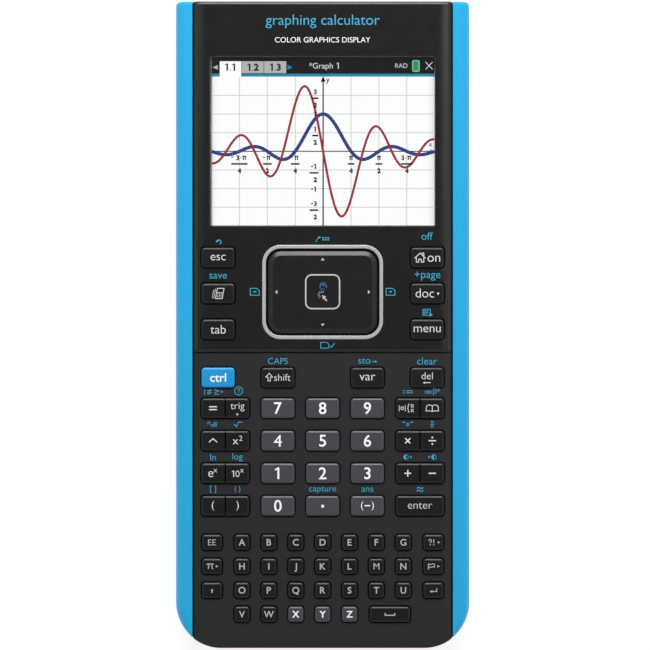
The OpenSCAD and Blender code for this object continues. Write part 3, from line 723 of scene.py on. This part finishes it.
# More legends on the keys.
NEGATIVE = [("text", "(", -1.55, 0, None, 2.7), ("text", ")", 1.55, 0, None, 2.7),
            ("box", 0, 0.05, 1.7, 0.34)]
TRIG = [word("trig", 4.1, 0, 0.35, -0.01), arrow(0, -1.8, 0, 0.42)]
CARET = [([(-1.2, -0.45), (0, 0.65), (1.2, -0.45)], 0.28)]
SQUARE = [("text", "x", -0.6, -0.3, 1.6), ("text", "2", 0.95, 0.75, None, 1.5)]
EXP = [word("e", 1.5, -0.65, -0.25), word("x", 1.1, 0.7, 0.75, -0.01)]
TEN_POWER = [("one", -1.15, -0.15, 1.9, 0.27), ("text", "0", 0.0, -0.15, None, 1.9, -0.008),
             word("x", 1.1, 1.3, 0.75, -0.01)]
COMMA = [("disc", 0, 0, 0.3), ([(0.2, -0.05), (0.1, -0.45), (-0.2, -0.75)], 0.22)]
QUESTION = [(arc(-0.95, 0.42, 0.42, 170, -60, 8) + [(-0.9, -0.2)], 0.24), ("disc", -0.9, -0.7, 0.17, 8),
            ([(0.15, 0.85), (0.15, -0.25)], 0.24), ("disc", 0.15, -0.7, 0.17, 8)]

# Command keys: side, row, legend, marks above. Ctrl row: x. Pairs, by side and row: left key, right key.
COMMANDS = {
    "key_esc": (-1, 0, [word("esc", 4.4)], UNDO),
    "key_calc": (-1, 1, CALC_ICON, [("text", "save", 0, 5.05, 5.1)]),
    "key_tab": (-1, 2, [word("tab", 4.5)], []),
    "key_on": (1, 0, HOUSE + [("text", "on", 1.95, -0.35, 3.7)], [("text", "off", 0, 6.3, 3.3)]),
    "key_doc": (1, 1, [word("doc", 5.4, -0.7, 0.1), arrow(3.2, -0.1, 270, 0.5)],
                [("text", "+page", 0.1, 5.1, 7.6)]),
    "key_menu": (1, 2, [word("menu", 7.9)], MENU_ICON),
}
MODIFIERS = {
    "key_ctrl": (-COMMAND_X, [word("ctrl", 4.7, weight=0.01)], []),
    "key_shift": (-NUMBER_PITCH, SHIFT_ICON + [word("shift", 4.8, 1.3, 0.05, -0.01)],
                  [("text", "CAPS", 0, 4.85, 5.8)]),
    "key_var": (NUMBER_PITCH, [word("var", 4.6)], STORE),
    "key_del": (COMMAND_X, [word("del", 3.3, 0, 0.5, -0.01)] + BACK_ARROW,
                [("text", "clear", 0, 4.85, 5.8)]),
}
NUMBERS = [[(f"key_{digit}", number(digit), []) for digit in row] for row in ("789", "456", "123")]
NUMBERS.append([("key_0", number("0"), []),
                ("key_point", [("disc", 0, -0.1, 0.45)], [("text", "capture", 0, 4.6, 7.9)]),
                ("key_negative", NEGATIVE, [("text", "ans", 0, 4.75, 3.5)])])
PAIRS = {
    (-1, 0): (("key_equals", EQUALS, RELATIONS), ("key_trig", TRIG, HELP)),
    (-1, 1): (("key_power", CARET, NTH_ROOT), ("key_square", SQUARE, ROOT)),
    (-1, 2): (("key_exp", EXP, [("text", "ln", 0, 4.75, 1.65)]),
              ("key_ten_power", TEN_POWER, [("text", "log", 0, 4.65, 3.0)])),
    (-1, 3): (("key_paren_open", [("text", "(", 0, 0, None, 2.9)], [("text", "[ ]", 0, 4.85, 1.8)]),
              ("key_paren_close", [("text", ")", 0, 0, None, 2.9)], [("text", "{ }", 0, 4.85, 1.8)])),
    (1, 0): (("key_template", TEMPLATE_ICON, ASSIGN), ("key_catalog", BOOK_ICON, SYMBOLS)),
    (1, 1): (("key_multiply", TIMES, QUOTES), ("key_divide", DIVIDE, FRACTION)),
    (1, 2): (("key_plus", PLUS, contrast(1)), ("key_minus", [("box", 0, 0, 2.2, 0.36)], contrast(-1))),
}
LETTERS = ["ABCDEFG", "HIJKLMN", "OPQRSTU", "VWXYZ"]
LEFT_MARKS = [[("text", "EE", 0, 0, 2.3)], PI_ICON + [arrow(1.4, 0)], COMMA]
RIGHT_MARKS = [QUESTION + [arrow(1.6, 0)], FLAG_ICON + [arrow(1.5, 0)], RETURN_ICON]


def letter_key(text, x, y):
    """One small letter key. The last three letters are grey."""
    grey = text in "XYZ"
    weight = 0.0 if text == "M" else 0.012 + 0.01 * grey
    return Key(text, x, y, [("letter", text, 0, 0, 1.85, weight)], w=LETTER_W, d=LETTER_W,
               mat=KEY_GREY if grey else KEY_BLACK)


def single_keys():
    """Every key that is a node of its own."""
    keys = []
    for name, (side, row, marks, upper) in COMMANDS.items():
        keys.append(Key(name, side * COMMAND_X, COMMAND_Y - (row - 1) * COMMAND_PITCH, marks, upper,
                        top=UPPER_KEY_TOP_Z))
    for name, (x, marks, upper) in MODIFIERS.items():
        mat = KEY_BLUE if name == "key_ctrl" else KEY_BLACK
        keys.append(Key(name, x, MODIFIER_Y, marks, upper, mat=mat))
    row_y = [NUMBER_Y - row * NUMBER_ROW_PITCH for row in range(4)]
    for y, cells in zip(row_y, NUMBERS):
        for column, (name, marks, upper) in enumerate(cells):
            keys.append(Key(name, (column - 1) * NUMBER_PITCH, y, marks, upper, mat=KEY_GREY))
    for (side, row), twins in PAIRS.items():
        for twin, (name, marks, upper) in zip((1, -1), twins):
            x = side * PAIR_X - twin * TWIN_SHIFT
            keys.append(Key(name, x, row_y[row], marks, upper, w=HALF_W, twin=twin))
    enter, almost = word("enter", 7.1, weight=-0.014), ("text", "≈", 0, 4.8, 1.9)
    keys.append(Key("key_enter", PAIR_X, row_y[3], [enter], [almost], w=PAIR_W))
    return keys


def letter_rows():
    """The four rows of letter keys; a row is one node."""
    rows = []
    for row, letters in enumerate(LETTERS):
        y = LETTER_Y - row * LETTER_ROW_PITCH
        keys = [letter_key(text, (i - 3) * LETTER_PITCH, y) for i, text in enumerate(letters)]
        if row < len(LEFT_MARKS):
            for side, marks in ((-1, LEFT_MARKS[row]), (1, RIGHT_MARKS[row])):
                keys.append(Key("side", side * SIDE_LETTER_X, y, marks, w=SIDE_LETTER_W, d=LETTER_W))
        else:
            keys.append(Key("space", 2.5 * LETTER_PITCH, y, SPACE_ICON, w=LETTER_PITCH + LETTER_W - 0.5,
                            d=LETTER_W))
        rows.append(keys)
    return rows


SINGLE_KEYS, LETTER_ROWS = single_keys(), letter_rows()
ALL_KEYS = SINGLE_KEYS + [key for row in LETTER_ROWS for key in row]
SLOT_OF = {KEY_BLACK.name: "key_black", KEY_GREY.name: "key_grey", KEY_BLUE.name: "key_blue"}


def build_keys():
    """Each key node's caps, and its legends in ink for black keys and brighter ink for the others."""
    groups = [(key.name, [key]) for key in SINGLE_KEYS]
    groups += [(f"letter_keys_row_{i + 1}", keys) for i, keys in enumerate(LETTER_ROWS)]
    for node, keys in groups:
        bm = bmesh.new()
        mats = [keys[0].mat] + [KEY_GREY] * any(k.mat == KEY_GREY and keys[0].mat != KEY_GREY for k in keys)
        for key in keys:
            for face in key.cap(bm):
                face.material_index = mats.index(key.mat)
        caps = finish_mesh(bm, f"{node}_cap", mats)
        weigh_normals(caps)
        place(caps, node, SLOT_OF[keys[0].mat.name], node)
        for black in (True, False):
            legend_keys = [key for key in keys if (key.mat == KEY_BLACK) == black]
            if not legend_keys:
                continue
            legend = Drawing()
            for key in legend_keys:
                legend.at(key.x, key.y).draw(key.marks)
            mat = (LETTER_INK if len(keys) > 1 else KEY_INK) if black else WHITE_INK
            name = f"{node}_legend" if black else f"{node}_bright_legend"
            place(printed(legend, name, mat, lambda x, y, z=keys[0].top: z), node, "legend_white")


build_keys()


# ---------- case, bezel and rails ----------

def holes_for(keys, top_z, under_z):
    """One hole for each key, and one for each pair of twins."""
    return [key.hole(top_z, under_z) for key in keys if key.twin != -1]


def build_front_case():
    """The keypad's face and the front half's walls, with the bezel's seat, and the lamp's lens."""
    lower = [key for key in ALL_KEYS if key.y < SEAM_Y]
    upper = [key for key in ALL_KEYS if key.y > SEAM_Y]
    under_z = FACE_Z - FACE_T
    profile = fillet(0.6, FACE_Z) + [(0, SPLIT_Z + 0.15), (0.18, SPLIT_Z), (WALL, SPLIT_Z), (WALL, under_z)]
    holes = holes_for(lower + upper, FACE_Z, under_z)
    for outline in (opening(SCREEN_W + 1.6, SCREEN_H + 1.6, 0.6, SCREEN_Y),
                    opening(PAD_W + 0.8, PAD_H + 0.8, PAD_R, PAD_Y)):
        holes.append((outline, [(0, FACE_Z), (0, under_z)]))
    obj = shell("keypad_faceplate", [CASE], (core_outline, profile), holes, FACE_Z - 0.7)
    seat = bmesh.new()
    block(seat, (-50, SEAM_Y - 0.3, SEAT_Z), (50, 100, FACE_Z + 2))
    cut(obj, seat)
    openings = bmesh.new()
    block(openings, *USB_MOUTH)
    along_y(openings, LAMP_X, LAMP_Z, ((0.85, 92), (0.85, 97)))
    cut(obj, openings)
    weigh_normals(obj)
    place(obj, "case", "case_black", "front_case")
    lens = bmesh.new()
    top = BODY_L / 2
    along_y(lens, LAMP_X, LAMP_Z,
            ((0.83, top - 1.6), (0.83, top - 0.25), (0.7, top - 0.1), (0.45, top - 0.02), (0.15, top)))
    place(finish_mesh(lens, "status_lamp_lens", [LENS]), "case", "window_clear")


def bezel_outline(inset):
    length = BODY_L / 2 - SEAM_Y
    w, d, r = 2 * (BEZEL_HALF - inset), length - 2 * inset, max(0.7 - inset, 0.05)
    return rounded(w, d, r, 0, SEAM_Y + length / 2)


def build_bezel():
    upper = [key for key in ALL_KEYS if key.y > SEAM_Y]
    holes = holes_for(upper, BEZEL_Z, SEAT_Z)
    holes.append((opening(SCREEN_W, SCREEN_H, 0.5, SCREEN_Y),
                  fillet(0.3, BEZEL_Z, 3, outward=True) + [(0, 14.25), (-1.65, 14.25), (-1.65, SEAT_Z)]))
    holes.append((opening(RING_W + 0.2, RING_H + 0.2, RING_R + 0.1, PAD_Y, steps=8),
                  fillet(0.2, BEZEL_Z, 3, outward=True) + [(0, SEAT_Z)]))
    edge = [(inset, BEZEL_Z - drop) for inset, drop in
            ((0.86, 0), (0.8, 0.01), (0.1, 0.36), (0.04, 0.42), (0.0, 0.55))]
    obj = shell("screen_bezel", [BEZEL], (bezel_outline, edge + [(0, SEAT_Z)]), holes, BEZEL_Z - 0.75)
    weigh_normals(obj)
    place(obj, "case", "bezel_black", "display_bezel")


def build_rail(side):
    """A rounded bar along one side, which follows the body's corners at both ends."""
    top, centre_y = BODY_L / 2, CORNER_R - BODY_L / 2
    mid_z, half_h = (RAIL_LOW_Z + RAIL_HIGH_Z) / 2, (RAIL_HIGH_Z - RAIL_LOW_Z) / 2
    drop = sqrt(CORNER_R ** 2 - (RAIL_X + 0.12 - BODY_HALF + CORNER_R) ** 2)
    ys = [centre_y - drop * sin(radians(90 * (1 - i / 22))) for i in range(22)]
    ys += [centre_y + (top - TOP_CORNER_R - centre_y) * i / 30 for i in range(31)]
    ys += [top - TOP_CORNER_R * (1 - sin(radians(15 * i))) for i in range(1, 7)]
    rings = []
    for y in ys:
        outer = BODY_HALF
        if y < centre_y:
            outer = BODY_HALF - CORNER_R + sqrt(CORNER_R ** 2 - (y - centre_y) ** 2)
        lost = 0.0
        if y > top - TOP_CORNER_R:
            lost = TOP_CORNER_R - sqrt(max(TOP_CORNER_R ** 2 - (y - top + TOP_CORNER_R) ** 2, 0))
        width, height = outer - RAIL_X - lost, half_h - lost * 0.45
        ring = []
        for i in range(33):
            t = radians(90 - 180 * i / 32)
            bulge = abs(cos(t)) ** (2 / 3)
            rise = (1 if sin(t) >= 0 else -1) * abs(sin(t)) ** (2 / 3)
            ring.append((side * (RAIL_X + width * bulge), y, mid_z + height * rise))
        rings.append(ring)
    bm = bmesh.new()
    rings_to_mesh(bm, rings)
    inner, outer = sorted((side * (RAIL_X - 0.9), side * (RAIL_X + 0.1)))
    block(bm, (inner, centre_y - 9.4, mid_z - 3), (outer, top - 0.5, mid_z + 3))
    name = "right" if side > 0 else "left"
    obj = finish_mesh(bm, f"rail_{name}", [RAIL])
    weigh_normals(obj)
    place(obj, "case", "rail_blue", f"{name}_side_rail")


build_front_case()
build_bezel()
build_rail(-1)
build_rail(1)


# ---------- back ----------

DOOR_W, DOOR_L, DOOR_Y, DOOR_R = 44.0, 64.0, -45.0, 3.0
FEET = [(x, y) for x in (-29, 29) for y in (79, -78)]
CASE_SCREWS = [(side * x, y) for side in (-1, 1) for x, y in ((33, 88.5), (33, -8.5), (32, -86.5))]
DOOR_SCREWS = [(x, DOOR_Y - DOOR_L / 2 + 3.6) for x in (-14, 14)]
RESET = (24, 34)


def build_back():
    """The tray of the rear cover, with its recesses."""
    lower_edge = [(i, 2 * REAR_Z - z) for i, z in fillet(2.2, REAR_Z, 6)]
    profile = lower_edge + [(0, SPLIT_Z - 0.15), (0.18, SPLIT_Z), (WALL, SPLIT_Z), (WALL, REAR_Z + 1.6)]
    bm = bmesh.new()
    lofted(bm, core_outline, profile)
    obj = finish_mesh(bm, "back_shell", [REAR])
    cutter = bmesh.new()
    prism(cutter, rounded(DOOR_W + 0.4, DOOR_L + 0.4, DOOR_R, 0, DOOR_Y), 0, 2.0)
    for x, y in FEET:
        post(cutter, x, y, 3.75, 0, REAR_Z + 0.6)
    for x, y in CASE_SCREWS:
        post(cutter, x, y, 2.1, 0, 2.38)
    post(cutter, *RESET, 1.1, 0, 4)
    block(cutter, *USB_MOUTH)
    cut(obj, cutter)
    weigh_normals(obj)
    place(obj, "case", "rear_black", "rear_cover")


def build_door():
    bm = bmesh.new()
    profile = [(i, 2 * REAR_Z - z) for i, z in fillet(0.35, REAR_Z, 3)] + [(0, 1.98)]
    lofted(bm, lambda i: rounded(DOOR_W, DOOR_L, DOOR_R - 0.2, 0, DOOR_Y, grow=-i, steps=8), profile)
    obj = finish_mesh(bm, "battery_cover", [REAR])
    cutter = bmesh.new()
    for x, y in DOOR_SCREWS:
        post(cutter, x, y, 1.9, 0, REAR_Z + 0.62)
    for i in range(7):
        y = DOOR_Y + DOOR_L / 2 - 6 - 1.5 * i
        prism(cutter, rounded(18, 0.7, 0.34, 0, y), 0, REAR_Z + 0.35)
    cut(obj, cutter)
    weigh_normals(obj)
    place(obj, "case", "rear_black", "battery_door")


def build_feet():
    bm = bmesh.new()
    profile = [(1.2, 0.0), (0.6, 0.0), (0.25, 0.08), (0.07, 0.22), (0.0, 0.45), (0.0, 1.38)]
    for x, y in FEET:
        lofted(bm, lambda inset: circle(x, y, 3.6 - inset, 40), profile)
    place(finish_mesh(bm, "rubber_foot_pads", [RUBBER]), "case", "foot_rubber", "rubber_feet")


build_back()
build_door()
build_feet()


# ---------- touchpad ----------

def build_ring():
    """The silver trim round the touchpad, closed at its underside."""
    edge = fillet(0.18, BEZEL_Z + 0.3)
    profile = [(0.0, SEAT_Z)] + edge[::-1] + [(RING_RIM - i, z) for i, z in edge] + [(RING_RIM, SEAT_Z)]
    bm = bmesh.new()
    made = lofted(bm, lambda i: rounded(RING_W, RING_H, RING_R, 0, PAD_Y, -i, 10), profile, cap_start=False,
                  cap_end=False)
    for i in range(len(made[0])):
        bm.faces.new((made[0][i - 1], made[0][i], made[-1][i], made[-1][i - 1]))
    ring = finish_mesh(bm, "touchpad_trim_ring", [SILVER])
    weigh_normals(ring)
    place(ring, "case", "ring_silver", "touchpad_ring")


def build_touchpad():
    """The plate, hollow underneath, with its sloping border."""
    rim_z, border = PAD_TOP_Z - 0.55, 1.3
    flange, flange_z, r = 1.1, PAD_LOW_Z + 0.6, 0.3
    plate = [(PAD_WALL, PAD_UNDER_Z), (PAD_WALL, PAD_LOW_Z), (-flange, PAD_LOW_Z), (-flange, flange_z),
             (0.0, flange_z), (0.0, rim_z - r)]
    plate += [(r * (1 - cos(radians(a))), rim_z - r + r * sin(radians(a))) for a in (25, 50, 75)]
    plate += [(0.4, rim_z + 0.06), (border, PAD_TOP_Z - 0.04), (border + 0.12, PAD_TOP_Z - 0.008),
              (border + 0.3, PAD_TOP_Z)]
    bm = bmesh.new()
    lofted(bm, lambda i: rounded(PAD_W, PAD_H, PAD_R, 0, PAD_Y, -i, 8), plate)
    pad = finish_mesh(bm, "touchpad_face", [PAD])
    weigh_normals(pad)
    place(pad, "touchpad_plate", "pad_black", "touchpad_plate")


def build_pad_marks():
    """The square, the four arrows, the pointer with its rays, and the hand."""
    square, marks, hand = (Drawing(0, PAD_Y) for _ in range(3))
    square.frame(0, 0.1, 10.35, 10.35, 2.0, 0.42)
    for x, y, angle in ((13.6, 0, 0), (-13.6, 0, 180), (0, 9.6, 90), (0, -9.6, 270)):
        a = radians(angle)
        marks.polygon([(x + u * cos(a) - v * sin(a), y + u * sin(a) + v * cos(a))
                       for u, v in ((0.4, 0), (-0.3, 0.6), (-0.3, -0.6))])
    marks.polygon([(-0.15, -0.85), (1.05, -1.35), (0.66, -1.62), (1.4, -2.5), (1.1, -2.75), (0.36, -1.9),
                   (0.08, -2.2)])
    for angle in range(60, 236, 35):
        a = radians(angle)
        marks.stroke([(r * cos(a) - 0.3, r * sin(a) - 0.75) for r in (0.55, 1.2)], 0.13)
    hand.stroke(arc(0.1, 1.75, 0.95, -20, 300, 18), 0.2)
    for i in range(4):
        hand.stroke([(-0.55 + 0.4 * i, 1.75), (-0.5 + 0.4 * i, 2.9 - 0.12 * abs(i - 1.5))], 0.24)
    hand.stroke([(0.95, 1.2), (1.3, 1.9)], 0.26)
    for drawing, name, mat, slot in ((square, "touchpad_square", SILVER_INK, "ring_silver"),
                                     (marks, "touchpad_marks", SILVER_INK, "legend_white"),
                                     (hand, "touchpad_hand", PAD_BLUE_INK, "legend_blue")):
        place(printed(drawing, name, mat, lambda x, y: PAD_TOP_Z), "touchpad_plate", slot)


build_ring()
build_touchpad()
build_pad_marks()


# ---------- printing on the face ----------

def face_surface(x, y):
    return (BEZEL_Z if y > SEAM_Y else FACE_Z) - dome_drop(x)


def build_face_printing():
    """The marks over the keys and the small icons in light blue, then the two header lines."""
    blue = Drawing()
    for key in SINGLE_KEYS:
        blue.at(key.x, key.y).draw(key.upper)
    for side in (-1, 1):
        blue.at(side * 19.95, PAD_Y + 0.1)
        blue.stroke(PAGE, 0.22, True)
        blue.stroke([(-0.55 * side, 0), (0.1 * side, 0)], 0.2)
        blue.triangle(0.15 * side, 0, 0.42, 0 if side > 0 else 180)
    blue.at(0, 25.2)
    blue.stroke([(-2.0, -0.9), (-1.3, 0.4), (-0.9, 0.5)], 0.2)
    blue.triangle(-0.85, 0.5, 0.45, 20)
    for i in range(3):
        for j in range(2):
            blue.box(0.15 + 0.75 * i, 0.35 - 0.6 * j, 0.5, 0.36)
    blue.at(0.6, -6.0)
    blue.stroke([(px * 0.9, py * 0.85) for px, py in PAGE], 0.2, True)
    blue.stroke([(1.6, -0.2), (2.0, -0.6), (2.9, 0.6)], 0.22)
    place(printed(blue, "blue_legends", BLUE_INK, face_surface), "case", "legend_blue")
    header = Drawing().draw([word("graphing calculator", 33.5, 0, 89.1, -0.004)])
    place(printed(header, "header_line", HEADER_INK, face_surface), "case", "legend_blue")
    second = Drawing().draw([word("COLOR GRAPHICS DISPLAY", 28.0, 0, 83.7, -0.003)])
    place(printed(second, "header_small_line", WHITE_INK, face_surface), "case", "legend_white")


build_face_printing()


# ---------- the display's picture ----------

GLASS_Z = box_mm("display_module")[1][2]
LEFT, RIGHT, LOW, HIGH = -32.6, 32.9, 29.2, 78.7
BAR_Y = 73.05
AXIS_X, AXIS_Y = 0.14, 50.97
CELL_X, CELL_Y = 8.2, 5.48
UNIT_X, UNIT_Y = CELL_X / (pi / 4), CELL_Y * 2
GRID_LINE, LAYER_STEP, CURVE_STEPS = 0.26, 0.011, 240
FRONT_TAB_X, TAB_Y, TAB_PITCH, TAB_TEXT = -27.1, 75.7, 6.6, 2.15


def wave(x):
    """The plotted function, sin(4x) / 4x."""
    return sin(4 * x) / (4 * x) if abs(x) > 1e-6 else 1.0


def slope(x):
    """The slope of the plotted function."""
    return 4 * (cos(4 * x) / (4 * x) - sin(4 * x) / (4 * x) ** 2) if abs(x) > 1e-6 else 0.0


def build_display():
    """The picture as thin layers of light, each in one colour."""
    level = [0.0]

    def show(marks, name, mat):
        """Lay the next layer of the picture, a drawing or a list of marks, above the last one."""
        drawing = marks if isinstance(marks, Drawing) else Drawing().draw(marks)
        height = GLASS_Z + level[0]
        level[0] += LAYER_STEP
        obj = printed(drawing, name, mat, lambda x, y: height + 0.02, thickness=-0.012, step=0.0001)
        place(obj, "case", "screen_ink")

    middle = (LEFT + RIGHT) / 2
    width = RIGHT - LEFT
    show([("box", middle, (LOW + BAR_Y) / 2, width, BAR_Y - LOW)], "display_page", LIT_WHITE)
    show([("box", middle, (BAR_Y + HIGH) / 2, width, HIGH - BAR_Y)], "display_bar", LIT_DARK)
    grid = []
    for i in (-3, -2, -1, 1, 2, 3):
        grid.append(([(AXIS_X + i * CELL_X, LOW), (AXIS_X + i * CELL_X, BAR_Y)], GRID_LINE))
        grid.append(([(LEFT, AXIS_Y + i * CELL_Y), (RIGHT, AXIS_Y + i * CELL_Y)], GRID_LINE))
    for x in (LEFT + GRID_LINE / 2, RIGHT - GRID_LINE / 2):
        grid.append(([(x, LOW), (x, BAR_Y)], GRID_LINE))
    show(grid, "display_grid", LIT_GRID)
    show([("box", middle, BAR_Y + 0.3, width, 0.85)], "display_teal_line", LIT_TEAL)
    tabs = [("box", x, TAB_Y, 6.5, 3.5) for x in (-20.6, -13.95)] + [("triangle", -31.4, 75.65, 0.95, 180)]
    show(tabs, "display_tabs", LIT_GREY)
    show([("box", FRONT_TAB_X, 75.15, 6.3, 4.6)], "display_front_tab", LIT_WHITE)
    show([("triangle", -9.7, 75.65, 0.95, 0)], "display_tab_arrow", LIT_TEAL)
    tab_text = Drawing()
    for i in range(3):
        x = FRONT_TAB_X + TAB_PITCH * i
        tab_text.one(x - 0.95, TAB_Y, TAB_TEXT, 0.48)
        tab_text.disc(x, 74.85, 0.18)
        if i:
            tab_text.text(str(i + 1), x + 1.0, TAB_Y, None, TAB_TEXT, 0.04)
        else:
            tab_text.one(x + 1.15, TAB_Y, TAB_TEXT, 0.48)
    plot = [([(LEFT, AXIS_Y), (RIGHT, AXIS_Y)], 0.3), ([(AXIS_X, LOW), (AXIS_X, BAR_Y - 0.9)], 0.4),
            ("triangle", AXIS_X, BAR_Y - 1.0, 1.0, 90), ("triangle", RIGHT - 0.8, AXIS_Y, 0.75, 0),
            word("y", 1.1, 1.5, BAR_Y - 1.5, 0.02), word("x", 1.0, 31.7, AXIS_Y + 1.9, 0.02)]
    labels = Drawing()
    for cells, bottom, wide in ((-3, "4", 4.8), (-2, "2", 2.6), (-1, "4", 2.6), (1, "4", 1.9), (2, "2", 1.9),
                                (3, "4", 3.4)):
        x = AXIS_X + cells * CELL_X
        labels.box(x, AXIS_Y - 3.7, wide, 0.5)
        labels.text(bottom, x, AXIS_Y - 5.7, None, 1.5, 0.06)
        end = x + wide / 2 - 0.95
        pi_top = AXIS_Y - 1.45
        labels.stroke([(end - 0.6, pi_top), (end + 0.6, pi_top)], 0.34)
        for leg in (end - 0.28, end + 0.28):
            labels.stroke([(leg, pi_top), (leg, AXIS_Y - 2.55)], 0.32)
        if abs(cells) == 3:
            labels.text("3", end - 1.95, AXIS_Y - 1.9, None, 1.5, 0.045)
            labels.disc(end - 1.05, AXIS_Y - 1.95, 0.18, 8)
        if cells < 0:
            labels.box(x - wide / 2 + 0.3, AXIS_Y - 1.7, 0.65, 0.32)
    for value in (3, 2, 1, -1, -2, -3):
        x, y = AXIS_X - 2.3, AXIS_Y + value * CELL_Y - 0.85
        whole = value % 2 == 0
        top_y = y + (0.7 if whole else 1.9)
        if abs(value) == 3:
            labels.text("3", x, top_y, None, 1.5, 0.045)
        else:
            labels.one(x, top_y, 1.5, 0.4)
        if value < 0:
            labels.box(x - 0.95, top_y, 0.65, 0.32)
        if not whole:
            labels.text("2", x, y - 2.0, None, 1.5, 0.06)
            labels.box(x - (0.4 if value < 0 else 0), y, 2.6 if value < 0 else 1.8, 0.5)
    show(plot, "display_axes", LIT_INK)
    show(tab_text, "display_tab_numbers", LIT_INK)
    xs = [(LEFT - AXIS_X) / UNIT_X + (RIGHT - LEFT) / UNIT_X * i / CURVE_STEPS
          for i in range(CURVE_STEPS + 1)]
    for curve, line, name, mat in ((wave, 1.02, "display_blue_curve", LIT_BLUE),
                                   (slope, 0.7, "display_red_curve", LIT_RED)):
        show([([(AXIS_X + x * UNIT_X, AXIS_Y + UNIT_Y * curve(x)) for x in xs], line)], name, mat)
    show(labels, "display_axis_numbers", LIT_INK)
    words = [word("*Graph", 7.0, -0.5, 75.9, 0.0), ("one", 4.6, 76.15, 1.8, 0.26),
             word("RAD", 3.6, 23.1, 76.15, -0.004), ([(30.25, 75.05), (32.3, 77.25)], 0.2),
             ([(30.25, 77.25), (32.3, 75.05)], 0.2)]
    show(words, "display_words", LIT_TEXT)
    show([("box", 27.4, 76.0, 1.6, 2.75)], "display_battery", LIT_GREEN)
    show([("frame", 27.4, 76.05, 2.2, 3.4, 0.5, 0.33)], "display_battery_edge", LIT_PALE_GREEN)


build_display()


# ---------- CAD pieces that stay ----------

def refinish(node, mat):
    """Give a CAD node its material."""
    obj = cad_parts[node]
    if not obj.material_slots:
        obj.data.materials.append(mat)
    for item in obj.material_slots:
        item.material = mat


STAYING = {"display_window": CLEAR, "main_board": BOARD, "touchpad_sensor": BOARD, "display_module": INNER,
           "touchpad_support": INNER, "reset_button": INNER, "key_membrane": MEMBRANE, "battery_pack": FOIL,
           "usb_socket": STEEL, "screws": STEEL}
for kept_node, kept_mat in STAYING.items():
    refinish(kept_node, kept_mat)


# ---------- stage, light and camera ----------

STAGE_HALF = 3000


def build_stage():
    """A wide white floor just under the feet."""
    bm = bmesh.new()
    block(bm, (-STAGE_HALF, -STAGE_HALF, -2), (STAGE_HALF, STAGE_HALF, -0.01))
    mat, _, shader = new_material("floor_lit_white")
    settings(shader, Base_Color=(0.3, 0.3, 0.3, 1), Roughness=0.9, Specular_IOR_Level=0.0,
             Emission_Color=(1, 1, 1, 1), Emission_Strength=0.8)
    finish_mesh(bm, "floor", [mat])


def area_light(name, power, size_x, size_y, place_at, aim):
    """A rectangular softbox that faces the point aim."""
    data = bpy.data.lights.new(name, "AREA")
    data.energy, data.shape, data.size, data.size_y = power, "RECTANGLE", size_x, size_y
    lamp = new_object(name, data)
    lamp.location = place_at
    dx, dy, dz = (aim[i] - place_at[i] for i in range(3))
    lamp.rotation_euler = (atan2(hypot(dx, dy), -dz), 0, atan2(dy, dx) - pi / 2)


def build_light():
    """A world that is bright at the horizon and dim overhead, and three softboxes."""
    world = bpy.data.worlds.new("studio")
    bpy.context.scene.world = world
    tree = Shading(world)
    sky = settings(tree.nodes["Background"], Color=(1, 1, 1, 1))
    overhead = tree.map_range(tree.axes(tree.coords("Generated"))[2], 0.2, 1.0, 1.0, 0.2)
    tree.link(overhead, sky.inputs["Strength"])
    area_light("softbox_top", 3.8, 0.6, 0.22, (0.0, 0.5, 0.4), (0, 0.02, 0))
    area_light("softbox_right", 0.7, 0.14, 0.4, (0.4, 0.2, 0.7), (0, 0.05, 0))
    area_light("softbox_left", 0.25, 0.14, 0.4, (-0.4, 0.2, 0.7), (0, 0.05, 0))


def build_camera():
    """A long lens straight above the face; the frame is view_w metres wide there."""
    lens, sensor, view_w = 400.0, 36.0, 0.1909
    centre_x, centre_y = 0.00069, -0.00007
    data = bpy.data.cameras.new("camera")
    data.lens, data.sensor_width = lens, sensor
    data.clip_start, data.clip_end = 0.01, 10
    camera = new_object("camera", data)
    camera.location = (centre_x, centre_y, view_w * lens / sensor + BEZEL_Z * MM)
    bpy.context.scene.camera = camera


build_stage()
build_light()
build_camera()
bpy.context.scene.view_settings.view_transform = "Standard"
